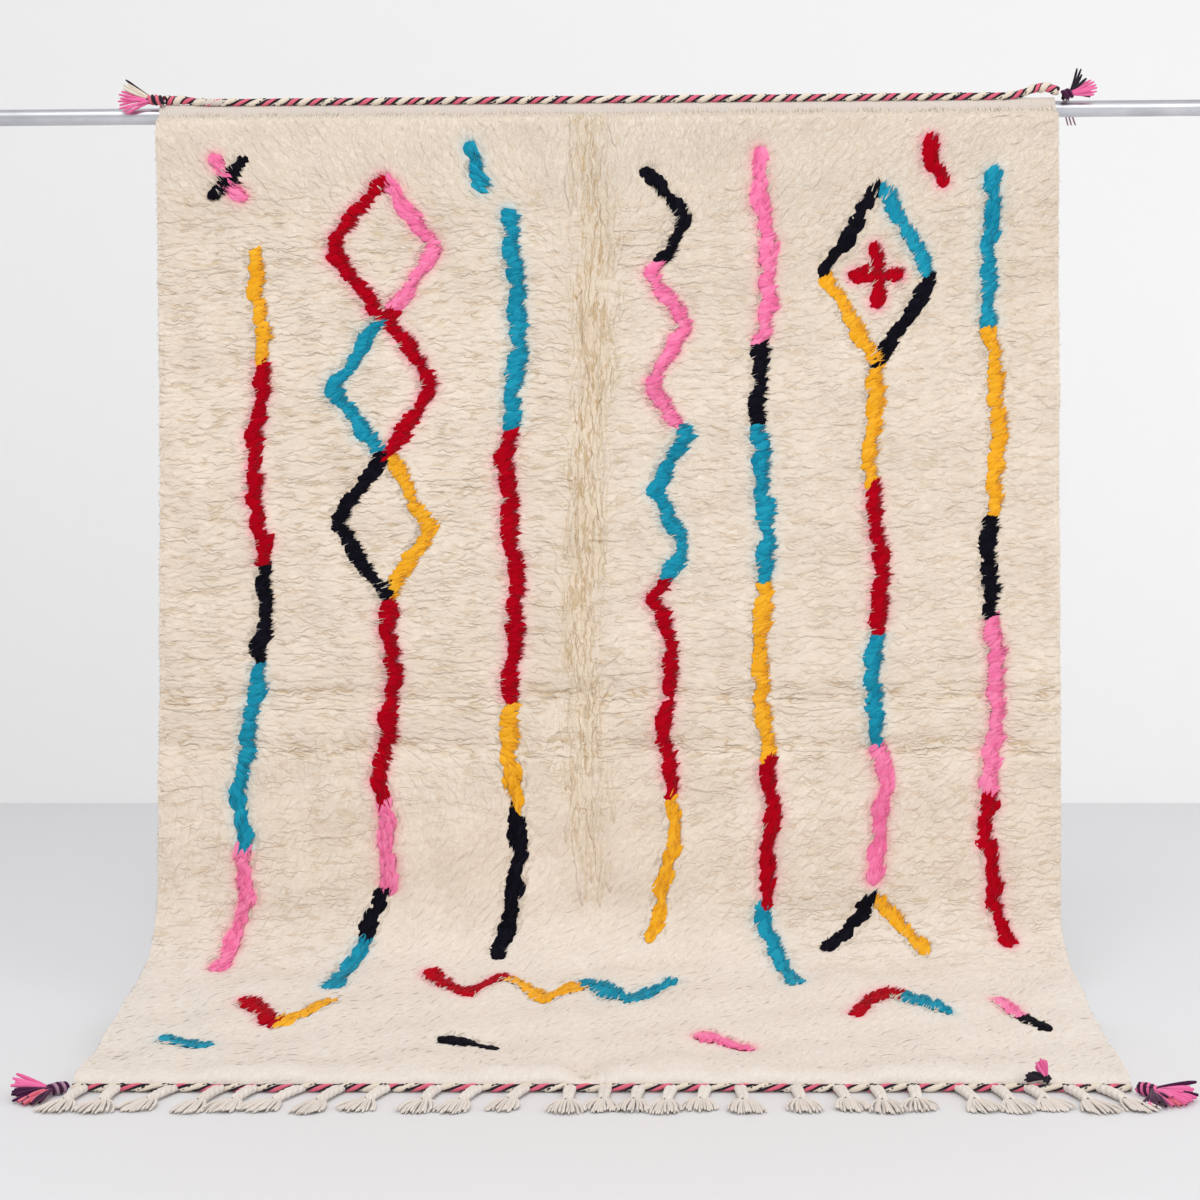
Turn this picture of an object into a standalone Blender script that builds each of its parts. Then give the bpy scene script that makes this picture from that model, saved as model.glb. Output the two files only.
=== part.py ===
"""A shag rug with a knotted fringe, hung over a round rod.

Its lower part curves forward and lies on the floor. Metres, +Z up. The origin is on the floor, in
the middle of the object's box. The rod runs along X, and the pile faces -Y. Depths are given as
"forward", the distance from the rod's axis towards -Y, so the drape reads like a side drawing.
"""

import math
import random

import bmesh
import bpy
import numpy as np
from mathutils import Vector

# Driving dimensions
ROD_RADIUS = 0.0135
ROD_LENGTH = 2.12
ROD_HEIGHT = 1.499  # of its axis, halfway along
ROD_RISE = 0.0085  # climb to the right, for each metre along
ROD_Y = 0.3225  # how far the rod's axis lies behind the origin
CLEARANCE = 0.0021  # from the rod to the cloth that passes over it
GAP = 0.0004  # between two pieces that lie against each other
WEAVE = 0.0030  # the flat-woven ends
PILE = 0.024  # the knotted field, from its back to its surface
HEAD_STRIP = 0.044  # flat weave from the head end to the first knots
TAIL_STRIP = 0.020  # flat weave from the last knots to the front end
HEAD_SLOPE = 0.018  # over which the pile rises from the head strip to its full depth
TAIL_SLOPE = 0.016  # over which it falls again before the tail strip
RIM = 0.009  # width of the strips that carry the free locks at the pile's rim
LOCK_REACH = 0.012  # how far the rim's locks stand out of their strip
LOCK_DROOP = 0.016  # how far they hang down along it
SEED = 7

# The cloth's back seen from the side: the corners of its run, and the radius that rounds each.
HEAD_ANGLE = math.radians(80)  # the head end, counted round the rod from its front
BACK = ROD_RADIUS + CLEARANCE
DRAPE = (
    # forward, height, radius
    (BACK, ROD_HEIGHT, 0.0),
    (BACK, 0.078, 0.125),
    (0.385, 0.0, 0.45),
    (0.537, 0.0, 0.0),
)

# The two selvedges: distance along the cloth from its head end, and where each edge lies there.
SELVEDGES = (
    # along, left, right
    (0.00, -0.738, 0.762),
    (0.60, -0.731, 0.763),
    (1.20, -0.733, 0.766),
    (1.45, -0.739, 0.765),
    (1.75, -0.738, 0.752),
    (1.95, -0.732, 0.737),
)

# Low swells of the pile: each is a wave with this length, at this heading across the cloth.
SWELL = 0.0020
SWELLS = (
    # length, heading in degrees, phase
    (0.170, 20, 0.3),
    (0.115, 75, 1.9),
    (0.210, -50, 4.1),
    (0.090, -15, 2.6),
)

# Soft troughs where the cloth was folded: one down the middle, and two across below the middle.
FOLD_X = -0.020
FOLD_SWAY = 0.009
FOLD_WIDTH = 0.030
FOLD_DEPTH = 0.006
CREASE_ALONG = (1.000, 1.085)
CREASE_WIDTH = 0.016
CREASE_DEPTH = 0.005
CREASE_ROOM = 0.022  # from a crease's bottom to the even cloth beside it
FOLD_SHARE = 0.036  # the same for the fold, as a share of the cloth's width
COLUMNS = (18, 6, 19)  # cross points to the left of the fold, over it, and to its right

# The knotted tassels of the front edge, from left to right.
FRINGE = (
    # root x, tip x
    (-0.712, -0.726),
    (-0.668, -0.672),
    (-0.588, -0.622),
    (-0.523, -0.549),
    (-0.478, -0.503),
    (-0.412, -0.456),
    (-0.358, -0.392),
    (-0.295, -0.326),
    (-0.225, -0.246),
    (-0.168, -0.199),
    (-0.103, -0.134),
    (-0.041, -0.046),
    (0.008, 0.001),
    (0.054, 0.043),
    (0.099, 0.083),
    (0.146, 0.132),
    (0.193, 0.195),
    (0.270, 0.273),
    (0.329, 0.336),
    (0.380, 0.383),
    (0.4325, 0.425),
    (0.496, 0.513),
    (0.547, 0.559),
    (0.591, 0.609),
    (0.646, 0.667),
    (0.690, 0.722),
)
FRINGE_REACH = 0.104
FRINGE_SWING = 0.007  # how much the tassels' lengths differ
FRINGE_NECK = 0.50  # share of its length that is bound as a neck
FRINGE_STRANDS = 5
FAN_WIDTH = 0.050  # of a tassel with room to spread
STRAND_WIDTH = 0.0052  # at most
STRAND_FILL = 0.74  # share of the room between its neighbours that a strand takes

BRAID_RADIUS = 0.0048
BRAID_PITCH = 0.042
BRAID_STEPS = 46
# The head braid's run: its ends lift off the crest and turn forward to their tassels.
HEAD_BRAID = (
    # x, forward, rise above the rod's axis
    (-0.727, 0.0060, 0.0240),
    (-0.700, 0.0020, 0.0262),
    (-0.655, 0.0020, 0.0238),
    (0.700, 0.0020, 0.0238),
    (0.728, 0.0030, 0.0265),
    (0.748, 0.0050, 0.0355),
    (0.762, 0.0100, 0.0330),
    (0.774, 0.0165, 0.0215),
)
FRONT_BRAID = (-0.728, 0.733)  # x of its two ends

# The dyed tassels: where each one's neck starts, and the way it points.
FLOOR_TASSELS = (
    # name, x, degrees from straight forward
    ("tassel_front_left", -0.7345, -58),
    ("tassel_front_right", 0.7400, 52),
)
HEAD_TASSELS = (
    # name, x, forward, rise above the rod's axis, degrees from straight right
    ("tassel_head_left", -0.7285, 0.0160, 0.0215, 176),
    ("tassel_head_right", 0.7760, 0.0220, 0.0140, 24),
)
FLOOR_NECK = (
    # along, middle, half width, height
    (0.0, 0.0, 0.0060, 0.011),
    (0.012, 0.0, 0.0085, 0.014),
    (0.026, 0.0, 0.0085, 0.012),
)
HEAD_NECK = (
    (0.0, 0.0, 0.0050, 0.009),
    (0.010, 0.0, 0.0070, 0.010),
    (0.020, 0.0, 0.0075, 0.009),
)
TUFT = (0.6200, 0.0175, 140)  # x, height above the floor, degrees from straight right
TUFT_NECK = (
    (0.0, 0.0, 0.0040, 0.007),
    (0.008, 0.0, 0.0055, 0.008),
)


def clear_scene():
    for item in list(bpy.data.objects):
        bpy.data.objects.remove(item, do_unlink=True)


def finish(name, color, roughness, metallic=0.0):
    """One Principled material."""
    material = bpy.data.materials.new(name)
    material.use_nodes = True
    shader = material.node_tree.nodes["Principled BSDF"]
    shader.inputs["Base Color"].default_value = (*color, 1.0)
    shader.inputs["Roughness"].default_value = roughness
    shader.inputs["Metallic"].default_value = metallic
    return material


def place(x, forward, height):
    """A point of the side drawing at x. Heights stretch with the rod's climb, and the floor stays level."""
    climb = 1.0 + ROD_RISE * x / ROD_HEIGHT
    return Vector((x, ROD_Y - forward, height * climb))


def ramp(value, start, end):
    """0 before start, 1 after end, and a soft slope between."""
    share = min(1.0, max(0.0, (value - start) / (end - start)))
    return share * share * (3.0 - 2.0 * share)


def bump(value, centre, width):
    return math.exp(-(((value - centre) / width) ** 2))


def add_object(name, shape, material, smooth=True):
    """Turns a bmesh into a named object with one material."""
    bmesh.ops.recalc_face_normals(shape, faces=shape.faces)
    mesh = bpy.data.meshes.new(name)
    shape.to_mesh(mesh)
    shape.free()
    if smooth:
        mesh.shade_smooth()
        mesh.set_sharp_from_angle(angle=math.radians(50))
    mesh.materials.append(material)
    piece = bpy.data.objects.new(name, mesh)
    bpy.context.scene.collection.objects.link(piece)
    return piece


class Run:
    """The cloth's back as a line in the side drawing, read by the distance along it from the head end."""

    STEP = 0.002

    def __init__(self):
        self.points = self.over_rod()
        self.marks = [self.length_of(self.points)]
        for before, corner, after in zip(DRAPE, DRAPE[1:], DRAPE[2:]):
            self.round_corner(before, corner, after)
        self.points.append(DRAPE[-1][:2])
        line = np.array(self.points)
        steps = np.linalg.norm(np.diff(line, axis=0), axis=1)
        self.along = np.concatenate([[0.0], np.cumsum(steps)])
        self.line = line
        self.length = float(self.along[-1])

    def over_rod(self):
        turns = int(HEAD_ANGLE * BACK / self.STEP)
        angles = np.linspace(HEAD_ANGLE, 0.0, turns + 1)
        return [(BACK * math.cos(a), ROD_HEIGHT + BACK * math.sin(a)) for a in angles]

    @staticmethod
    def length_of(points):
        return sum(math.dist(a, b) for a, b in zip(points, points[1:]))

    def round_corner(self, before, corner, after):
        """Adds the straight up to a corner and the arc that rounds it."""
        middle = Vector(corner[:2])
        back = (Vector(before[:2]) - middle).normalized()
        on = (Vector(after[:2]) - middle).normalized()
        half = back.angle(on) / 2
        tangent = corner[2] / math.tan(half)
        centre = middle + (back + on).normalized() * corner[2] / math.sin(half)
        start = middle + back * tangent - centre
        turn = math.pi - 2 * half
        steps = max(2, int(corner[2] * turn / self.STEP))
        self.marks.append(self.length_of(self.points + [tuple(centre + start)]))
        for k in range(steps + 1):
            angle = turn * k / steps
            spoke = start * math.cos(angle) - back * corner[2] * math.sin(angle)
            self.points.append(tuple(centre + spoke))
        self.marks.append(self.length_of(self.points))

    def at(self, along, lift=0.0):
        """Forward and height of a point that stands this far off the cloth's back."""
        forward = np.interp(along, self.along, self.line[:, 0])
        height = np.interp(along, self.along, self.line[:, 1])
        reach = self.STEP
        ahead = np.array([np.interp(along + reach, self.along, self.line[:, c]) for c in (0, 1)])
        behind = np.array([np.interp(along - reach, self.along, self.line[:, c]) for c in (0, 1)])
        heading = (ahead - behind) / np.linalg.norm(ahead - behind)
        return forward - heading[1] * lift, height + heading[0] * lift


def selvedge(along, column):
    rows = np.array(SELVEDGES)
    return float(np.interp(along, rows[:, 0], rows[:, column]))


def cloth_thickness(run, along):
    """Flat weave at both ends, pile between."""
    head = ramp(along, HEAD_STRIP, HEAD_STRIP + HEAD_SLOPE)
    front = ramp(run.length - along, TAIL_STRIP, TAIL_STRIP + TAIL_SLOPE)
    return WEAVE + (PILE - WEAVE) * min(head, front)


def surface_relief(run, along, x):
    """How far the pile's surface stands off its even height at a point."""
    swell = 0.0
    for length, heading, phase in SWELLS:
        turn = math.radians(heading)
        travel = x * math.cos(turn) + along * math.sin(turn)
        swell += SWELL * math.sin(math.tau * travel / length + phase)
    fold = FOLD_DEPTH * bump(x, FOLD_X + FOLD_SWAY * math.sin(along * 5.0), FOLD_WIDTH)
    crease = sum(CREASE_DEPTH * bump(along, middle, CREASE_WIDTH) for middle in CREASE_ALONG)
    share = (cloth_thickness(run, along) - WEAVE) / (PILE - WEAVE)
    return (swell - fold - crease) * share


def rows_along(run):
    """Where the cloth's cross rows lie, closer together where it bends or changes."""
    over_rod, knee_start, knee_end, touch_start, touch_end = run.marks
    last_knots = run.length - TAIL_STRIP
    first_crease, second_crease = CREASE_ALONG
    stretches = (
        # start, end, rows
        (0.0, over_rod, 5),
        (HEAD_STRIP, HEAD_STRIP + HEAD_SLOPE, 4),
        (HEAD_STRIP + 0.050, first_crease - CREASE_ROOM, 22),
        (first_crease, first_crease + CREASE_ROOM, 2),
        (second_crease - CREASE_ROOM, second_crease + CREASE_ROOM, 3),
        (second_crease + 0.062, knee_start, 5),
        (knee_start, knee_end, 8),
        (knee_end, touch_start, 6),
        (touch_start, touch_end, 4),
        (touch_end, last_knots - TAIL_SLOPE, 3),
        (last_knots - TAIL_SLOPE / 2, last_knots, 3),
        (run.length, run.length, 1),
    )
    rows = {round(float(row), 6) for start, end, count in stretches for row in np.linspace(start, end, count)}
    return sorted(rows)


def columns_across():
    """Shares of the width, closer together at the fold down the middle."""
    middle = (FOLD_X - SELVEDGES[1][1]) / (SELVEDGES[1][2] - SELVEDGES[1][1])
    before, within, after = COLUMNS
    left = np.linspace(0.0, middle - FOLD_SHARE, before)
    centre = np.linspace(middle - FOLD_SHARE, middle + FOLD_SHARE, within)
    right = np.linspace(middle + FOLD_SHARE, 1.0, after)
    return np.concatenate([left, centre[1:-1], right])


def make_rug(run, material):
    """The whole cloth as one closed solid: a lumpy front on a back that runs straight across."""
    rows, columns = rows_along(run), columns_across()
    rims = (HEAD_STRIP + 0.005, run.length - TAIL_STRIP - 0.003)
    shape = bmesh.new()
    fronts, backs = [], []
    for along in rows:
        inset = RIM + GAP if rims[0] < along < rims[1] else 0.0
        left, right = selvedge(along, 1) + inset, selvedge(along, 2) - inset
        thick = cloth_thickness(run, along)
        front = []
        for share in columns:
            x = left + (right - left) * share
            front.append(shape.verts.new(place(x, *run.at(along, thick + surface_relief(run, along, x)))))
        fronts.append(front)
        backs.append([shape.verts.new(place(x, *run.at(along))) for x in (left, right)])
    for f, g, b, c in zip(fronts, fronts[1:], backs, backs[1:]):
        for k in range(len(columns) - 1):
            shape.faces.new((f[k], f[k + 1], g[k + 1], g[k]))
        shape.faces.new((b[1], b[0], c[0], c[1]))
        shape.faces.new((b[0], f[0], g[0], c[0]))
        shape.faces.new((f[-1], b[1], c[1], g[-1]))
    shape.faces.new([*fronts[0][::-1], *backs[0]])
    shape.faces.new([*fronts[-1], *backs[-1][::-1]])
    return add_object("rug", shape, material)


def make_comb(name, material, point, along, width, heights, reach, droop, rng):
    """A narrow strip with a free, tapering lock on each step of its outer side.

    point(along, out, up) gives a place in the object, and heights(along) the strip's low and high sides.
    """
    shape = bmesh.new()
    rings = []
    for a in along:
        low, high = heights(a)
        corners = ((0, low), (width, low), (width, high), (0, high))
        rings.append([shape.verts.new(point(a, out, up)) for out, up in corners])
    for ring, after in zip(rings, rings[1:]):
        for k in (0, 2, 3):
            shape.faces.new((ring[k], ring[(k + 1) % 4], after[(k + 1) % 4], after[k]))
    shape.faces.new(rings[0])
    shape.faces.new(rings[-1][::-1])
    for k, (a, b) in enumerate(zip(along, along[1:])):
        root = [rings[k][1], rings[k + 1][1], rings[k + 1][2], rings[k][2]]
        low, high = heights((a + b) / 2)
        size = rng.uniform(0.75, 1.15)
        lean = rng.uniform(0.7, 1.2)
        for out_share, spread, thick in ((0.55, 0.72, 0.80), (1.0, 0.26, 0.40)):
            middle = (a + b) / 2 + droop * lean * out_share**1.5
            half = (b - a) / 2 * spread
            out = width + reach * size * out_share
            top = low + (high - low) * thick
            corners = ((middle - half, low), (middle + half, low), (middle + half, top), (middle - half, top))
            tip = [shape.verts.new(point(c, out, up)) for c, up in corners]
            for j in range(4):
                shape.faces.new((root[j], root[(j + 1) % 4], tip[(j + 1) % 4], tip[j]))
            root = tip
        shape.faces.new(root)
    return add_object(name, shape, material)


def make_side_locks(run, material, rng):
    """The pile's rim along each selvedge: what hangs, the knee above the floor, and what lies."""
    _, knee_start, knee_end, _, _ = run.marks
    first, last = HEAD_STRIP + 0.016, run.length - TAIL_STRIP - 0.016
    stretches = (
        # name, start, end, locks
        ("hang", first, knee_start - 0.008, 29),
        ("knee", knee_start - 0.006, knee_end + 0.008, 5),
        ("floor", knee_end + 0.010, last, 11),
    )
    for side, column, outward in (("left", 1, -1), ("right", 2, 1)):

        def point(along, out, up):
            edge = selvedge(along, column) - outward * (RIM - out)
            return place(edge, *run.at(along, up))

        for part, start, end, count in stretches:
            make_comb(
                f"side_locks_{side}_{part}",
                material,
                point,
                list(np.linspace(start, end, count + 1)),
                RIM,
                lambda along: (0.0, 0.80 * cloth_thickness(run, along)),
                reach=LOCK_REACH,
                droop=LOCK_DROOP,
                rng=rng,
            )


def make_front_locks(run, material, rng):
    """The pile's rim over the flat-woven tail at the front edge."""
    start = run.length - TAIL_STRIP + GAP
    left = selvedge(run.length, 1) + 0.012
    right = selvedge(run.length, 2) - 0.012

    def point(along, out, up):
        return place(along, *run.at(start + out, up))

    make_comb(
        "front_locks",
        material,
        point,
        list(np.linspace(left, right, 37)),
        0.008,
        lambda along: (WEAVE + 2 * GAP, 0.019 + 0.0025 * math.sin(along * 31.0)),
        reach=0.008,
        droop=0.003,
        rng=rng,
    )


def make_rod(material):
    """A round rod whose end faces stand upright, square to X."""
    sides = 28
    shape = bmesh.new()
    rings = []
    for x in (-ROD_LENGTH / 2, ROD_LENGTH / 2):
        axis = place(x, 0.0, ROD_HEIGHT)
        angles = [math.tau * k / sides for k in range(sides)]
        spokes = [Vector((0.0, math.cos(a), math.sin(a))) * ROD_RADIUS for a in angles]
        rings.append([shape.verts.new(axis + spoke) for spoke in spokes])
    for k in range(sides):
        shape.faces.new((rings[0][k], rings[0][(k + 1) % sides], rings[1][(k + 1) % sides], rings[1][k]))
    shape.faces.new(rings[0])
    shape.faces.new(rings[1][::-1])
    return add_object("rod", shape, material)


def make_cord(name, material, centre, start, end):
    """A twisted cord along X: a flattened section that turns as it goes. centre(x) gives its middle."""
    sides = 6
    shape = bmesh.new()
    rings = []
    for k in range(BRAID_STEPS + 1):
        x = start + (end - start) * k / BRAID_STEPS
        twist = math.tau * (x - start) / (3 * BRAID_PITCH)
        ring = []
        for j in range(sides):
            angle = math.tau * j / sides
            radius = BRAID_RADIUS * (0.90 + 0.10 * math.cos(2 * (angle - twist)))
            spoke = Vector((0.0, math.cos(angle), math.sin(angle))) * radius
            ring.append(shape.verts.new(centre(x) + spoke))
        rings.append(ring)
    for ring, after in zip(rings, rings[1:]):
        for j in range(sides):
            shape.faces.new((ring[j], ring[(j + 1) % sides], after[(j + 1) % sides], after[j]))
    shape.faces.new(rings[0])
    shape.faces.new(rings[-1][::-1])
    return add_object(name, shape, material)


def make_head_braid(material):
    rows = np.array(HEAD_BRAID)

    def centre(x):
        forward = np.interp(x, rows[:, 0], rows[:, 1])
        rise = np.interp(x, rows[:, 0], rows[:, 2])
        return place(x, forward, ROD_HEIGHT) + Vector((0.0, 0.0, rise))

    return make_cord("head_braid", material, centre, rows[0, 0], rows[-1, 0])


def front_braid_forward():
    """Where the front braid's middle lies, just clear of the cloth's front end."""
    return DRAPE[-1][0] + GAP + BRAID_RADIUS


def make_front_braid(material):
    forward = front_braid_forward()

    def centre(x):
        return place(x, forward, BRAID_RADIUS)

    return make_cord("front_braid", material, centre, *FRONT_BRAID)


def make_tassel(name, material, point, neck, strands, low=0.0):
    """A bound neck whose last ring is parted into columns, each drawn out as a free strand.

    point(along, across, up) gives a place in the object. neck rows are (along, middle, half width, height);
    strand rows are (tip along, tip across, tip height), one for each column.
    """
    columns = len(strands)
    shape = bmesh.new()
    lows, highs = [], []
    for along, middle, half, height in neck:
        across = [middle + half * (2 * k / columns - 1) for k in range(columns + 1)]
        crown = [1.0 - 0.45 * (2 * k / columns - 1) ** 2 for k in range(columns + 1)]
        lows.append([shape.verts.new(point(along, a, low)) for a in across])
        highs.append([shape.verts.new(point(along, a, low + height * c)) for a, c in zip(across, crown)])
    for b, c, t, u in zip(lows, lows[1:], highs, highs[1:]):
        for k in range(columns):
            shape.faces.new((b[k], b[k + 1], c[k + 1], c[k]))
            shape.faces.new((t[k + 1], t[k], u[k], u[k + 1]))
        shape.faces.new((b[0], c[0], u[0], t[0]))
        shape.faces.new((c[-1], b[-1], t[-1], u[-1]))
    for k in range(columns):
        shape.faces.new((lows[0][k + 1], lows[0][k], highs[0][k], highs[0][k + 1]))
    start, middle, half, height = neck[-1]
    root_room = 2 * half / columns
    tip_room = (strands[-1][1] - strands[0][1]) / (columns - 1)
    for k, (tip_along, tip_across, tip_height) in enumerate(strands):
        root = [lows[-1][k], lows[-1][k + 1], highs[-1][k + 1], highs[-1][k]]
        from_across = middle + half * ((2 * k + 1) / columns - 1)
        for share in (0.5, 1.0):
            along = start + (tip_along - start) * share
            across = from_across + (tip_across - from_across) * share
            room = root_room + (tip_room - root_room) * share
            wide = min(STRAND_WIDTH, STRAND_FILL * room) / 2
            tall = height * 0.62 + (tip_height - height * 0.62) * share
            corners = ((-wide, 0.0), (wide, 0.0), (wide, tall), (-wide, tall))
            tip = [shape.verts.new(point(along, across + a, low + up)) for a, up in corners]
            for j in range(4):
                shape.faces.new((root[j], root[(j + 1) % 4], tip[(j + 1) % 4], tip[j]))
            root = tip
        shape.faces.new(root)
    return add_object(name, shape, material)


def make_fringe(material):
    """The knotted warp tassels, lying level on the floor in front of the braid."""
    start = front_braid_forward() + BRAID_RADIUS + GAP

    def point(along, across, up):
        return place(across, start + along, up)

    tips = [tip for root, tip in FRINGE]
    for k, (root, tip) in enumerate(FRINGE):
        near = [abs(tip - other) for other in tips[max(0, k - 1) : k] + tips[k + 1 : k + 2]]
        fan = min(FAN_WIDTH, min(near) - 0.003)
        reach = FRINGE_REACH + FRINGE_SWING * math.sin(2.4 * k)
        bound = reach * FRINGE_NECK
        neck_x = root + (tip - root) * 0.62
        neck = (
            (0.0, root, 0.0075, 0.0085),
            (0.014, root + (neck_x - root) * 0.28, 0.0090, 0.0120),
            (bound, neck_x, 0.0080, 0.0090),
        )
        strands = []
        for s in range(FRINGE_STRANDS):
            share = 2 * s / (FRINGE_STRANDS - 1) - 1
            strands.append((reach * (1.0 - 0.10 * share**2), tip + share * (fan / 2 - 0.0015), 0.0025))
        make_tassel(f"fringe_{k + 1:02d}", material, point, neck, strands)


def fan_of(count, length, first, last, height, start=0.0):
    """Strand tips spread over a range of angles in degrees, measured from the tassel's own direction."""
    tips = []
    for k in range(count):
        angle = math.radians(first + (last - first) * k / (count - 1))
        tips.append((start + length * math.cos(angle), length * math.sin(angle), height))
    return tips


def laid_flat(corner_x, forward, heading):
    """A tassel's own directions on the floor, turned by heading degrees from straight forward."""
    turn = math.radians(heading)
    ahead = (math.sin(turn), math.cos(turn))
    side = (math.cos(turn), -math.sin(turn))

    def point(along, across, up):
        x = corner_x + along * ahead[0] + across * side[0]
        return place(x, forward + along * ahead[1] + across * side[1], up)

    return point


def held_upright(x, forward, height, heading):
    """A tassel's own directions in an upright plane, turned by heading degrees from straight right."""
    turn = math.radians(heading)

    def point(along, across, up):
        right = along * math.cos(turn) - across * math.sin(turn)
        rise = along * math.sin(turn) + across * math.cos(turn)
        return place(x + right, forward + up, height) + Vector((0.0, 0.0, rise))

    return point


def make_corner_tassels(material):
    """Four coloured tassels on the braids' ends: two before the rod, two lying on the floor."""
    fan = fan_of(8, 0.052, -36, 36, 0.006, start=FLOOR_NECK[-1][0])
    forward = front_braid_forward() + 0.004
    for name, x, heading in FLOOR_TASSELS:
        make_tassel(name, material, laid_flat(x, forward, heading), FLOOR_NECK, fan)
    fan = fan_of(8, 0.042, -32, 32, 0.004, start=HEAD_NECK[-1][0])
    for name, x, forward, rise, heading in HEAD_TASSELS:
        make_tassel(name, material, held_upright(x, forward, ROD_HEIGHT + rise, heading), HEAD_NECK, fan)


def make_tuft(material):
    """The small tuft that stands on the front braid near its right end."""
    x, height, heading = TUFT
    fan = fan_of(6, 0.020, -42, 42, 0.004, start=TUFT_NECK[-1][0])
    make_tassel("tuft_front", material, held_upright(x, DRAPE[-1][0], height, heading), TUFT_NECK, fan)


def build():
    clear_scene()
    rng = random.Random(SEED)
    wool = finish("wool", (0.84, 0.76, 0.64), 0.95)
    weave = finish("weave", (0.80, 0.74, 0.66), 0.90)
    braid = finish("braid", (0.78, 0.25, 0.38), 0.85)
    dyed = finish("dyed_wool", (0.80, 0.12, 0.38), 0.85)
    metal = finish("rod_metal", (0.72, 0.72, 0.74), 0.30, 1.0)
    run = Run()
    make_rod(metal)
    make_rug(run, wool)
    make_side_locks(run, wool, rng)
    make_front_locks(run, wool, rng)
    make_head_braid(braid)
    make_front_braid(braid)
    make_fringe(weave)
    make_corner_tassels(dyed)
    make_tuft(dyed)


build()
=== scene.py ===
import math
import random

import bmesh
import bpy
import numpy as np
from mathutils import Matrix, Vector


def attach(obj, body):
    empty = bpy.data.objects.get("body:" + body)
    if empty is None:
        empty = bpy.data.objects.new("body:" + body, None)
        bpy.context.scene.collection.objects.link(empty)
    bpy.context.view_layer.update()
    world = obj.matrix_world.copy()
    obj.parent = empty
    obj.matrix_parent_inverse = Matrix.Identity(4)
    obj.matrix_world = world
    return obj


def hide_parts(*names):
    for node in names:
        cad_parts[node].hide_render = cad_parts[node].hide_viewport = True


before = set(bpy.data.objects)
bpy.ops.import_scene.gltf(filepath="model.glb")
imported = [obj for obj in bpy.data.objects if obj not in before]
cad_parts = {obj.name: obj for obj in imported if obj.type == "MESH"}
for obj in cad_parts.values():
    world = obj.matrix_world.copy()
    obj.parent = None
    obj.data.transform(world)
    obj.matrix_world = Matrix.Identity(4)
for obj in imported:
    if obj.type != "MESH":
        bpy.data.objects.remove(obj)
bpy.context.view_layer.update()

# %% [markdown]
# # A cream shag rug with a knotted fringe, hung over a rod
# The rug is knotted by hand from thick wool. It hangs over a metal tube, and its lower part curves
# forward onto the floor. The real pile is a few thousand knots whose loose ends felt together into flat
# locks. Here each lock is a small curved leaf of its own, and numpy lays them all at once, because a loop
# over thousands of them is slow.

# %% [markdown]
# ## Sizes
# Metres, +Z up, the same as the solid model. The cloth is drawn from its side: "forward" is the distance
# from the rod's axis towards the front, and "along" is the distance from the cloth's head end, measured
# on its back.

# %% Sizes
ROD_RADIUS = 0.0135
ROD_LENGTH = 2.12
ROD_HEIGHT = 1.499
ROD_RISE = 0.0085  # the rod's climb for each metre to the right
ROD_Y = 0.3225
BACK = ROD_RADIUS + 0.0021  # the cloth's back stands this far off the rod's axis
WEAVE = 0.0030  # thickness of the woven ground
PILE = 0.024  # from the cloth's back to the top of the pile
HEAD_STRIP = 0.025  # bare weave before the first knots
TAIL_STRIP = 0.020  # bare weave after the last knots
HEAD_SLOPE = 0.018  # length over which the pile rises to its full depth
TAIL_SLOPE = 0.016
HEAD_ANGLE = math.radians(80)  # where on the rod the head end lies, from straight forward
DRAPE = (
    # forward, height, radius
    (BACK, ROD_HEIGHT, 0.0),
    (BACK, 0.078, 0.125),
    (0.385, 0.0, 0.45),
    (0.537, 0.0, 0.0),
)
SELVEDGES = (
    # along, left, right
    (0.00, -0.738, 0.762),
    (0.60, -0.731, 0.763),
    (1.20, -0.733, 0.766),
    (1.45, -0.739, 0.765),
    (1.75, -0.738, 0.752),
    (1.95, -0.732, 0.737),
)
SWELL = 0.0020  # height of each of the pile's broad waves
SWELLS = (
    # length, heading in degrees, phase
    (0.170, 20, 0.3),
    (0.115, 75, 1.9),
    (0.210, -50, 4.1),
    (0.090, -15, 2.6),
)
FOLD_X = -0.020  # the trough down the middle, and how far it wanders sideways
FOLD_SWAY = 0.009
FOLD_WIDTH = 0.030
FOLD_DEPTH = 0.006
CREASE_ALONG = (1.000, 1.085)  # the two troughs across
CREASE_WIDTH = 0.016
CREASE_DEPTH = 0.005
WARP_PITCH = 0.0046  # from one rib of the weave to the next
WEFT_PITCH = 0.0031
BRAID_RADIUS = 0.0048
GAP = 0.0004  # left between the cloth and what is sewn to it
FRONT_BRAID = (-0.728, 0.733)  # x of its ends
HEAD_BRAID = (
    # x, forward, rise above the rod's axis
    (-0.727, 0.0090, 0.0240),
    (-0.700, 0.0100, 0.0245),
    (-0.660, 0.0150, 0.0186),
    (0.690, 0.0150, 0.0186),
    (0.716, 0.0100, 0.0270),
    (0.738, 0.0080, 0.0360),
    (0.754, 0.0120, 0.0330),
    (0.767, 0.0165, 0.0225),
)
BRAID_FORWARD = DRAPE[-1][0] + GAP + BRAID_RADIUS
rng = np.random.default_rng(11)
print("pile", PILE, "m deep on a rod", ROD_LENGTH, "m long")

# %% [markdown]
# ## The cloth's run
# The cloth passes over the rod, hangs, bends forward above the floor and lies down. It could be
# simulated, but a heavy rug hangs in plain curves that a side drawing gives exactly: three straights
# joined by arcs, read by length, so any point given as (x, along, lift) finds its place on the cloth.


# %% The cloth's run
def distances(points):
    """How far each point of a line is from its first, along the line."""
    return np.concatenate([[0.0], np.cumsum(np.linalg.norm(np.diff(points, axis=0), axis=1))])


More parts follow.
